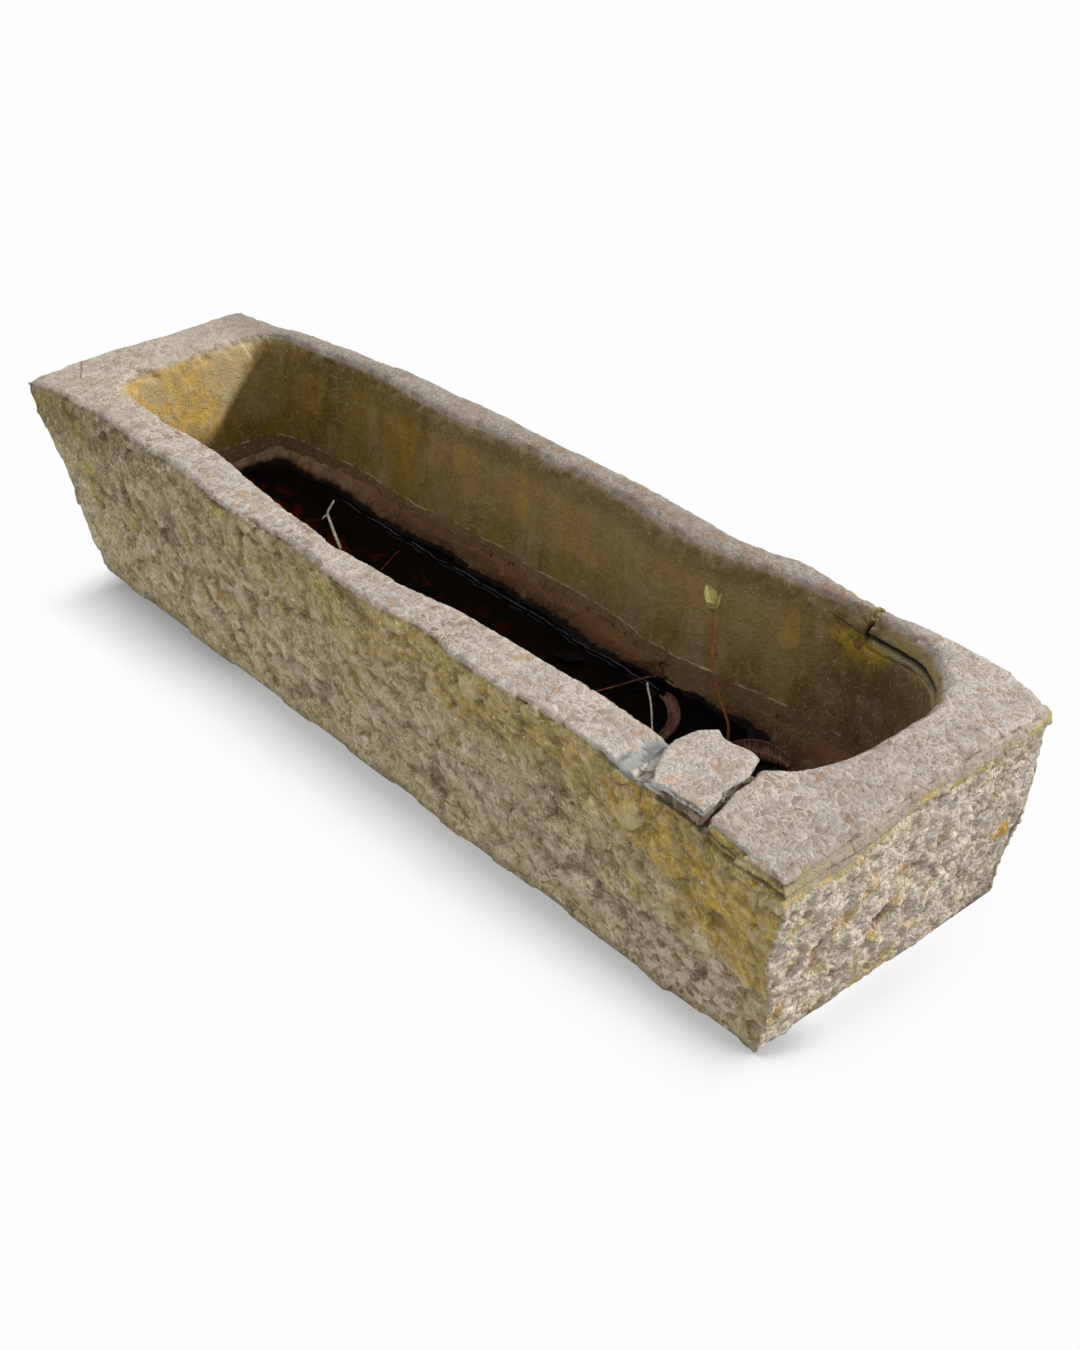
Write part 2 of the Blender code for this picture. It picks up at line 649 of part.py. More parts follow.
def tube(name, route, radius, collection, resolution=1):
    """A tapering round twig along a route, as a mesh with welded caps."""
    curve = bpy.data.curves.new(name, "CURVE")
    curve.dimensions = "3D"
    curve.bevel_depth = radius
    curve.bevel_resolution = resolution
    curve.use_fill_caps = True
    spline = curve.splines.new("POLY")
    spline.points.add(len(route) - 1)
    for i, (point, place) in enumerate(zip(spline.points, route)):
        point.co = (*place, 1)
        point.radius = mix(1, THIN_END_share, i / (len(route) - 1))
    guide = bpy.data.objects.new(name + "_guide", curve)
    bpy.context.scene.collection.objects.link(guide)
    mesh = bpy.data.meshes.new_from_object(guide.evaluated_get(bpy.context.evaluated_depsgraph_get()))
    bpy.data.objects.remove(guide, do_unlink=True)
    bm = bmesh.new()
    bm.from_mesh(mesh)
    bpy.data.meshes.remove(mesh)
    bmesh.ops.remove_doubles(bm, verts=bm.verts[:], dist=radius / 1000)
    bmesh.ops.recalc_face_normals(bm, faces=bm.faces[:])
    return object_from(bm, name, collection)


def skin(made, thickness):
    """Give an open sheet its thickness, half on each side."""
    wall = made.modifiers.new("thickness", "SOLIDIFY")
    wall.thickness = thickness
    wall.offset = 0


def sheet(length_cells, width_cells, shape):
    """An open sheet whose points are placed by shape(share along, share across from -1 to 1)."""
    bm = bmesh.new()
    bmesh.ops.create_grid(bm, x_segments=length_cells, y_segments=width_cells, size=0.5)
    for vert in bm.verts:
        vert.co = shape(vert.co.x + 0.5, vert.co.y * 2)
    return bm


def rolled_leaf(name, shares, radius, wall, ground, collection):
    """A dry leaf or bark strip rolled into an open C along a route."""
    route = smooth_route([in_hollow(x, y).to_3d() for x, y in shares], 3)
    last = len(route) - 1

    def shape(s, t):
        i = min(int(s * last), last - 1)
        place = route[i].lerp(route[i + 1], s * last - i)
        along = (route[i + 1] - route[i]).normalized()
        side = Vector((-along.y, along.x, 0))
        outside = radius * math.sin(math.pi * mix(ROLL_START_share, ROLL_END_share, s)) ** 0.6
        reach = outside - wall / 2
        step = (route[i + 1] - route[i]) / 2
        rest = max(
            ground(*(place + side * outside * k + step * ahead).xy) - outside * (1 - math.sqrt(1 - k * k))
            for k in (-0.9, -0.6, -0.3, 0, 0.3, 0.6, 0.9) for ahead in (-1, 0, 1)
        )
        turn = math.radians(ROLL_DEGREES) * t
        return (place + side * reach * math.sin(turn)
                + Vector((0, 0, rest + GAP + outside - reach * math.cos(turn))))

    made = object_from(sheet(len(route), 8, shape), name, collection)
    skin(made, wall)
    return made


def leaf_blade(length, width, cup, bend):
    """A pointed leaf along +X from the origin; cup raises its rims where it is widest, bend its tip."""
    def shape(s, t):
        breadth = math.sin(math.pi * mix(0.03, 0.97, s ** 1.2)) ** 0.9
        return Vector((length * s, width / 2 * breadth * t, cup * breadth * t * t + bend * s * s))
    return sheet(6, 4, shape)


def leaf(name, blade, wall, finish, collection):
    made = object_from(blade, name, collection)
    skin(made, wall)
    made.data.materials.append(finish)


def fallen_leaves(ground, collection):
    """Wet leaves that follow the ground they lie on."""
    finish = finish_of("wet_leaf", WET_LEAF, 0.35)
    for number, (x_share, y_share, degrees) in enumerate(wet_leaf_shares, 1):
        blade = leaf_blade(WET_LEAF_LENGTH, WET_LEAF_WIDTH, WET_LEAF_RISE / 2, WET_LEAF_RISE)
        place = Matrix.Translation((*in_hollow(x_share, y_share), WET_LEAF_SKIN / 2 + GAP))
        bmesh.ops.transform(blade, matrix=place @ Matrix.Rotation(math.radians(degrees), 4, "Z"),
                            verts=blade.verts[:])
        for vert in blade.verts:
            vert.co.z += ground(vert.co.x, vert.co.y)
        leaf(f"wet_leaf_{number}", blade, WET_LEAF_SKIN, finish, collection)


def stem_leaves(name, at, stem_radius, turns, size, finish, collection):
    """Leaves round the stem at one place, each by its turn and rise in degrees and its size share."""
    length, width, cup_share, bend_share = size
    clear = stem_radius + GAP + LEAF_SKIN / 2
    for number, (turn_degrees, rise_degrees, size_share) in enumerate(turns, 1):
        turn = Matrix.Rotation(math.radians(turn_degrees), 4, "Z")
        rise = Matrix.Rotation(math.radians(-rise_degrees), 4, "Y")
        blade = leaf_blade(length * size_share, width * size_share, width * cup_share, length * bend_share)
        place = Matrix.Translation(at + turn @ Vector((clear, 0, 0))) @ turn @ rise
        bmesh.ops.transform(blade, matrix=place, verts=blade.verts[:])
        leaf(f"{name}_{number}", blade, LEAF_SKIN, finish, collection)


def seedling(ground, collection):
    foot = in_hollow(*seedling_foot_shares).to_3d()
    foot.z = max(ground(foot.x + dx, foot.y + dy) for dx in (-STEM_RADIUS, STEM_RADIUS)
                 for dy in (-STEM_RADIUS, STEM_RADIUS)) + GAP
    route = smooth_route([foot + Vector((x * STEM_SWAY, 0, z * STEM_HEIGHT)) for z, x in stem_shares], 2)
    stem = tube("seedling_stem", route, STEM_RADIUS, collection)
    stem.data.materials.append(finish_of("red_stem", STEM, 0.5))
    green = finish_of("young_leaf", GREEN_LEAF, 0.5)
    top_size = (TOP_LEAF_LENGTH, TOP_LEAF_WIDTH, *top_leaf_form_shares)
    tip_radius = STEM_RADIUS * THIN_END_share
    stem_leaves("top_leaf", route[-1], tip_radius, top_leaf_turns, top_size, green, collection)
    joint = min(route, key=lambda p: abs(p.z - foot.z - side_leaf_height_share * STEM_HEIGHT))
    joint_radius = STEM_RADIUS * mix(1, THIN_END_share, route.index(joint) / (len(route) - 1))
    side_size = (SIDE_LEAF_LENGTH, SIDE_LEAF_WIDTH, *side_leaf_form_shares)
    stem_leaves("side_leaf", joint, joint_radius, side_leaf_turns, side_size, green, collection)


def twigs(ground, trough, cutters):
    route = lying_route(forked_twig_shares, forked_twig_lift_shares, FORKED_TWIG_RADIUS, ground)
    twig = tube("forked_twig", route, FORKED_TWIG_RADIUS, trough)
    branch = lying_route(fork_shares, fork_lift_shares, FORK_RADIUS, ground)
    start = min(route, key=lambda p: (p.xy - branch[0].xy).length)
    branch = [start, *branch[1:]]
    fork = as_cutter(tube("fork", branch, FORK_RADIUS, cutters))
    cut(twig, fork, "UNION")
    twig.data.materials.append(finish_of("pale_wood", PALE_WOOD))
    for name, shares, lifts, radius, colour in (
            ("root_thread", root_shares, root_lift_shares, ROOT_RADIUS, RED_WOOD),
            ("red_twig", red_twig_shares, red_twig_lift_shares, RED_TWIG_RADIUS, RED_WOOD),
            ("pale_stick", pale_stick_shares, pale_stick_lift_shares, PALE_STICK_RADIUS, PALE_WOOD)):
        piece = tube(name, lying_route(shares, lifts, radius, ground), radius, trough)
        piece.data.materials.append(finish_of(name + "_finish", colour))


def main():
    noise.seed_set(RELIEF_SEED)
    trough, cutters = start_empty()
    stone_pieces(trough, cutters)
    silt, water = mud_and_water(trough)
    ground = ground_under((silt, water))
    twigs(ground, trough, cutters)
    rolled_leaf("curled_leaf", curled_leaf_shares, CURLED_LEAF_RADIUS, CURLED_LEAF_SKIN, ground,
                trough).data.materials.append(finish_of("dry_leaf", DRY_LEAF))
    rolled_leaf("bark_curl", bark_shares, BARK_RADIUS, BARK_SKIN, ground,
                trough).data.materials.append(finish_of("bark", BARK))
    fallen_leaves(ground, trough)
    seedling(ground, trough)


main()
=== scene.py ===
"""Looks of the old stone water trough: hewn stone, split bed, mud, black water and litter.

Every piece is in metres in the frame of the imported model: +X along the trough to the end with the
rounded hollow, -Y at the near long side, +Z up, and the origin in the middle of the underside.
"""

import math

import bmesh
import bpy
import numpy as np
from mathutils import Matrix, Vector


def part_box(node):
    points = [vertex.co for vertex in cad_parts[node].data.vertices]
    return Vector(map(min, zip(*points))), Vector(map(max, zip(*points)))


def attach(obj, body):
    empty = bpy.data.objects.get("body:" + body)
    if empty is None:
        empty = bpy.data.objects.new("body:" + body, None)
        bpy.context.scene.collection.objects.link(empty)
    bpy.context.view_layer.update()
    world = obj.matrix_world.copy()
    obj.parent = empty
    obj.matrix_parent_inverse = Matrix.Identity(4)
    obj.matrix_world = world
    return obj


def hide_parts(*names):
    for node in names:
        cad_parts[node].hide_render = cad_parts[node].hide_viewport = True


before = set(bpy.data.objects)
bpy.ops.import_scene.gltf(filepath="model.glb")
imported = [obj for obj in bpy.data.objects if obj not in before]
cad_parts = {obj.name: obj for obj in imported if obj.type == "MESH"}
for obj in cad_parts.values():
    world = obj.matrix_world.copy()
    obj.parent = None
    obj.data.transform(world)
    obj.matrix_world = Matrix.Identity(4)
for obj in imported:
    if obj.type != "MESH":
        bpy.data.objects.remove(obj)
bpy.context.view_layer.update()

# Camera: its place, how it is turned, and its lens
CAMERA_PLACE = (2.072, -1.475, 1.706)
CAMERA_AZIMUTH = 51.663
CAMERA_ELEVATION = 33.248
CAMERA_ROLL = -2.96
CAMERA_LENS = 47.387
SENSOR = 36.0

# Light
SKY = 0.74
KEY = 2.6
KEY_ANGLE = 4.0
KEY_FROM = (0.66, 1.0, 0.80)
FLOOR_RADIUS = 14.0
SHADOW_REACH = 0.17
SHADOW_TONE = (0.310, 0.305, 0.300)

# Levels of the real block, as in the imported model
RIM = 0.372
JOINT = 0.3408
JOINT_TILT = 0.016
POOL = 0.127

# Middle line of each wall: its place at the rim, and how far it moves inward for each metre down
LEFT_WALL = (0.9275, 0.303)
RIGHT_WALL = (0.944, 0.202)
NEAR_WALL = (0.220, 0.136)
FAR_WALL = (0.238, 0.129)

# Where the seat of the split bed starts at the near side, and how much nearer the left end at the far side
SEAT_START = 0.735
SEAT_SHIFT = 0.061

# The pointed corner of the rim at the near left
KNOB = (-1.0, -0.275, 0.372)

# Ledge across the right end and lower border of the gold patch: lowest level and span of their stops
END_HALF_WIDTH = 0.29
LEDGE_LOW, LEDGE_SPAN = 0.25, 0.125
GOLD_START, GOLD_LENGTH = 0.56, 0.40
GOLD_LOW, GOLD_SPAN = 0.08, 0.27

# Net sizes of the stone and mud, and the most triangles of one piece
BLOCK_NET = 0.0045
SLAB_NET = 0.0030
FLAKE_NET = 0.0018
MUD_NET = 0.0045
BLOCK_TRIANGLES = 194000
SLAB_TRIANGLES = 90000
LAYER_TRIANGLES = 30000
FLAKE_TRIANGLES = 60000
MUD_TRIANGLES = 90000
LITTER_LEVELS = 2
WATER_UNDER_SHORE = 0.012
WATER_THICKNESS = 0.004

# Recesses of the rough right end: across, up, half width, half height, lean in degrees, depth
end_pits = (
    (-0.045, 0.142, 0.021, 0.020, 0, 0.013),
    (-0.171, 0.186, 0.010, 0.026, -28, 0.017),
    (0.080, 0.164, 0.009, 0.011, 20, 0.013),
    (0.012, 0.205, 0.014, 0.006, 10, 0.008),
    (0.124, 0.268, 0.005, 0.019, -35, 0.010),
    (-0.112, 0.300, 0.012, 0.007, 0, 0.009),
    (-0.214, 0.158, 0.007, 0.015, -30, 0.010),
    (0.052, 0.090, 0.018, 0.012, 30, 0.008),
    (-0.120, 0.080, 0.014, 0.010, 0, 0.008),
)

# Chips broken out of the near side: along, up, half width, half height, lean in degrees, depth
side_chips = ((-0.222, 0.113, 0.007, 0.03, 12, 0.011), (-0.368, 0.256, 0.012, 0.01, 0, 0.009),
    (0.664, 0.051, 0.016, 0.007, 15, 0.01), (-0.56, 0.215, 0.009, 0.02, 25, 0.009),
    (0.12, 0.23, 0.014, 0.008, -20, 0.008), (0.36, 0.12, 0.01, 0.016, 30, 0.009),
    (-0.06, 0.07, 0.018, 0.009, 10, 0.008), (-0.7, 0.12, 0.01, 0.016, -15, 0.008),
    (0.82, 0.08, 0.009, 0.014, 35, 0.009))

# Level of the ledge across the right end, and the lower border of the gold patch along the near side
ledge_stops = (
    (0.02, (0.576,) * 3), (0.20, (0.488,) * 3), (0.34, (0.664,) * 3), (0.50, (0.800,) * 3),
    (0.58, (0.696,) * 3), (0.675, (0.672,) * 3), (0.75, (0.768,) * 3), (0.93, (0.800,) * 3),
)
gold_low_stops = (
    (0.02, (0.845,) * 3), (0.27, (0.890,) * 3), (0.33, (0.640,) * 3), (0.45, (0.600,) * 3),
    (0.61, (0.430,) * 3), (0.71, (0.250,) * 3), (0.82, (0.180,) * 3), (0.95, (0.120,) * 3),
)

# Stains on the rough right end: across, up, radius, colour
crust_stains = (
    (-0.020, 0.216, 0.010, (0.62, 0.31, 0.09)), (-0.218, 0.165, 0.012, (0.60, 0.38, 0.10)),
    (0.205, 0.150, 0.022, (0.66, 0.42, 0.06)), (-0.045, 0.142, 0.019, (0.26, 0.205, 0.13)),
)

# Ochre streaks down the far wall of the hollow: along, top, bottom, half width, strength
inner_streaks = ((-0.7, 0.32, 0.22, 0.03, 0.35), (-0.404, 0.32, 0.23, 0.026, 0.65),
    (-0.23, 0.33, 0.25, 0.034, 0.55), (-0.071, 0.325, 0.23, 0.016, 0.9), (0.04, 0.3, 0.22, 0.03, 0.55),
    (0.116, 0.29, 0.23, 0.022, 0.45), (0.345, 0.35, 0.29, 0.018, 0.4), (0.548, 0.35, 0.27, 0.016, 0.75),
    (0.675, 0.35, 0.29, 0.034, 0.55), (0.815, 0.368, 0.345, 0.03, 0.55))


# Node writing

class Wire:
    """An output socket that takes part in sums; each sum or pattern adds its nodes to the sheet."""

    def __init__(self, sheet, socket):
        self.sheet, self.socket = sheet, socket

    def __add__(self, other):
        return self.sheet.math("ADD", self, other)

    __radd__ = __add__

    def __sub__(self, other):
        return self.sheet.math("SUBTRACT", self, other)

    def __rsub__(self, other):
        return self.sheet.math("SUBTRACT", other, self)

    def __mul__(self, other):
        return self.sheet.math("MULTIPLY", self, other)

    __rmul__ = __mul__

    def __truediv__(self, other):
        return self.sheet.math("DIVIDE", self, other)

    def __neg__(self):
        return self.sheet.math("MULTIPLY", self, -1.0)

    def __pow__(self, other):
        return self.sheet.math("POWER", self, other)

    def __abs__(self):
        return self.sheet.math("ABSOLUTE", self)

    def __or__(self, other):
        """The larger of two numbers."""
        return self.sheet.math("MAXIMUM", self, other)

    def __and__(self, other):
        """The smaller of two numbers."""
        return self.sheet.math("MINIMUM", self, other)

    def __rand__(self, other):
        return self.sheet.math("MINIMUM", other, self)

    def __matmul__(self, other):
        """Two places multiplied axis by axis."""
        return self.sheet.vector("MULTIPLY", self, other)

    def other(self, name):
        """Another output of the same node."""
        return Wire(self.sheet, self.socket.node.outputs[name])

    def rise(self, low, high):
        """0 below low, 1 above high, eased between them; low may lie above high."""
        return self.sheet.add("ShaderNodeMapRange", {"interpolation_type": "SMOOTHSTEP"},
                              {0: self, 1: low, 2: high, 3: 0.0, 4: 1.0})

    def band(self, middle, half, soft):
        """1 within half of the middle, falling to 0 over soft."""
        return abs(self - middle).rise(half + soft, half)

    def ramp(self, *stops):
        """Colour by a number: each stop is a place and a colour."""
        return self.sheet.add("ShaderNodeValToRGB", {"stops": stops}, {0: self})

    def lay(self, mask, colour):
        """Lay a colour over this one where the mask is 1; the wire then stands for the result."""
        self.socket = self.sheet.colours(mask, self, colour).socket

    def tint(self, mask, colour):
        """Multiply this colour by another where the mask is 1; the wire then stands for the result."""
        self.socket = self.sheet.colours(mask, self, colour, "MULTIPLY").socket

    def split(self):
        """The three numbers of a place."""
        x = self.sheet.add("ShaderNodeSeparateXYZ", None, {0: self})
        return x, x.other("Y"), x.other("Z")

    def length(self):
        """Distance of a place from the origin."""
        return self.sheet.vector("LENGTH", self).other("Value")

    def scaled(self, factor):
        return self.sheet.add("ShaderNodeVectorMath", {"operation": "SCALE"}, {0: self, "Scale": factor})

    def shifted(self, *offset):
        """A place moved by a fixed offset, so that two patterns of one kind don't fall together."""
        return self.sheet.add("ShaderNodeMapping", None, {"Vector": self, "Location": offset})

    def cloud(self, pitch, detail=4.0, rough=0.5, swirl=0.0):
        """Soft noise from 0 to 1 whose largest lumps are about pitch apart."""
        return self.sheet.add("ShaderNodeTexNoise", None, {
            "Vector": self, "Scale": 1 / pitch, "Detail": detail, "Roughness": rough, "Distortion": swirl})

    def cells(self, pitch, feature="F1", out="Distance"):
        """Distance to the middle of the nearest of many cells, or to their edges."""
        return self.sheet.add("ShaderNodeTexVoronoi", {"feature": feature},
                              {"Vector": self, "Scale": 1 / pitch}, out)


class Sheet:
    """Writes nodes into one tree."""

    def __init__(self, tree):
        self.tree = tree

    def add(self, kind, settings=None, values=None, out=0):
        """One node: its settings first, then a number, colour or wire for each named or numbered socket."""
        made = self.tree.nodes.new(kind)
        for name, value in (settings or {}).items():
            if name == "stops":
                stops = made.color_ramp.elements
                while len(stops) < len(value):
                    stops.new(1.0)
                for stop, (place, colour) in zip(stops, value):
                    stop.position, stop.color = place, (*colour, 1.0)
            else:
                setattr(made, name, value)
        for name, value in (values or {}).items():
            socket = made.inputs[name]
            if isinstance(value, Wire):
                self.tree.links.new(value.socket, socket)
            elif socket.type == "RGBA" and len(value) == 3:
                socket.default_value = (*value, 1.0)
            else:
                socket.default_value = value
        return Wire(self, made.outputs[out]) if len(made.outputs) else made

    def math(self, operation, *values):
        return self.add("ShaderNodeMath", {"operation": operation}, dict(enumerate(values)))

    def vector(self, operation, *values):
        return self.add("ShaderNodeVectorMath", {"operation": operation}, dict(enumerate(values)))

    def joined(self, x, y, z):
        return self.add("ShaderNodeCombineXYZ", None, {0: x, 1: y, 2: z})

    def colours(self, factor, a, b, blend="MIX"):
        """Colour a where the factor is 0 and b where it is 1."""
        return self.add("ShaderNodeMix", {"data_type": "RGBA", "blend_type": blend},
                        {0: factor, 6: a, 7: b}, 2)

    def place(self):
        """The piece's own coordinates, in metres."""
        return self.add("ShaderNodeTexCoord").other("Object")

    def moved(self, geometry, offset):
        return self.add("GeometryNodeSetPosition", None, {"Geometry": geometry, "Offset": offset})

    def put(self, geometry, place):
        return self.add("GeometryNodeSetPosition", None, {"Geometry": geometry, "Position": place})

    def stored(self, geometry, label, value):
        return self.add("GeometryNodeStoreNamedAttribute", {"data_type": "FLOAT", "domain": "POINT"},
                        {"Geometry": geometry, "Name": label, "Value": value})


def material_sheet(name):
    """A new material: its sheet, and a function that ends it in a Principled shader."""
    material = bpy.data.materials.new(name)
    material.use_nodes = True
    material.node_tree.nodes.clear()
    sheet = Sheet(material.node_tree)

    def finish(tone, roughness, shine, height, distance, strength):
        normal = sheet.add("ShaderNodeBump", None,
                           {"Height": height, "Distance": distance, "Strength": strength})
        shader = sheet.add("ShaderNodeBsdfPrincipled", None, {
            "Base Color": tone, "Roughness": roughness, "Specular IOR Level": shine, "Normal": normal})
        sheet.add("ShaderNodeOutputMaterial", None, {"Surface": shader})
        return material

    return sheet, finish


def shape_sheet(name, inputs):
    """A new Geometry Nodes tree: its sheet, its input wires, and a function that ends it."""
    kinds = {float: "NodeSocketFloat", int: "NodeSocketInt", str: "NodeSocketString"}
    tree = bpy.data.node_groups.new(name, "GeometryNodeTree")
    tree.interface.new_socket(name="Geometry", in_out="OUTPUT", socket_type="NodeSocketGeometry")
    tree.interface.new_socket(name="Geometry", in_out="INPUT", socket_type="NodeSocketGeometry")
    tree.interface.new_socket(name="Material", in_out="INPUT", socket_type="NodeSocketMaterial")
    for label, value in inputs.items():
        socket = tree.interface.new_socket(name=label, in_out="INPUT", socket_type=kinds[type(value)])
        socket.default_value = value
    sheet = Sheet(tree)
    start = tree.nodes.new("NodeGroupInput")
    wires = {socket.name: Wire(sheet, socket) for socket in start.outputs if socket.name}

    def finish(geometry):
        whole = sheet.add("GeometryNodeRealizeInstances", None, {"Geometry": geometry})
        dressed = sheet.add("GeometryNodeSetMaterial", None,
            {"Geometry": whole, "Material": wires["Material"]})
        sheet.add("NodeGroupOutput", None, {0: dressed})
        return tree

    return sheet, wires, finish


def with_tree(piece, tree, values):
    """Hang a Geometry Nodes tree on a piece, with its inputs set by their identifiers."""
    modifier = piece.modifiers.new(tree.name, "NODES")
    modifier.node_group = tree
    for item in tree.interface.items_tree:
        if item.item_type == "SOCKET" and item.in_out == "INPUT" and item.name in values:
            modifier[item.identifier] = values[item.name]
    return modifier


# Meshes

def settled(piece):
    """Turn what a piece's modifiers make into its plain mesh."""
    graph = bpy.context.evaluated_depsgraph_get()
    mesh = bpy.data.meshes.new_from_object(piece.evaluated_get(graph), preserve_all_data_layers=True,
                                           depsgraph=graph)
    piece.modifiers.clear()
    old = piece.data
    piece.data = mesh
    bpy.data.meshes.remove(old)
    mesh.name = piece.name
    mesh.shade_smooth()
    return piece


def new_piece(name, bm, material=None):
    mesh = bpy.data.meshes.new(name)
    bm.to_mesh(mesh)
    bm.free()
    piece = bpy.data.objects.new(name, mesh)
    bpy.context.scene.collection.objects.link(piece)
    if material:
        mesh.materials.append(material)
    mesh.shade_smooth()
    return piece


def copied(node, name):
    """A copy of a CAD node with its doubled corners merged."""
    bm = bmesh.new()
    bm.from_mesh(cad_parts[node].data)
    bmesh.ops.remove_doubles(bm, verts=bm.verts[:], dist=1e-5)
    return new_piece(name, bm)


def thinned(piece, most):
    """Merge the flattest faces until a piece has no more triangles than allowed."""
    piece.data.calc_loop_triangles()
    count = len(piece.data.loop_triangles)
    if count > most:
        fewer = piece.modifiers.new("fewer_faces", "DECIMATE")
        fewer.ratio = most / count
        settled(piece)
    return piece


def netted(piece, net, smooths):
    """Give a piece an even net of small faces and soften its edges."""
    remesh = piece.modifiers.new("even_net", "REMESH")
    remesh.mode = "VOXEL"
    remesh.voxel_size = net
    remesh.adaptivity = 0.0
    if smooths:
        soft = piece.modifiers.new("softened_edges", "SMOOTH")
        soft.factor = 0.5
        soft.iterations = smooths
    return piece


def kept(piece, node, slot, body="trough"):
    """Let a piece stand for its CAD node and ride on its body."""
    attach(piece, body)
    if node:
        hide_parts(node)
    return piece


# Where things are on the stone: these sums work on a shape's sheet and on a material's sheet

def wall_middles(x, y, z):
    """How far inside the middle line of each wall: left, right, near and far."""
    down = RIM - z
    return (x + LEFT_WALL[0] - LEFT_WALL[1] * down, RIGHT_WALL[0] - RIGHT_WALL[1] * down - x,
            y + NEAR_WALL[0] - NEAR_WALL[1] * down, FAR_WALL[0] - FAR_WALL[1] * down - y)


def joint_height(y):
    """Level of the bedding joint at the right end."""
    return JOINT + JOINT_TILT * y


def ledge_height(y):
    """Level of the ledge across the right end, where the rough crust begins."""
    across = (y + END_HALF_WIDTH) / (2 * END_HALF_WIDTH)
    return LEDGE_LOW + LEDGE_SPAN * across.ramp(*ledge_stops)


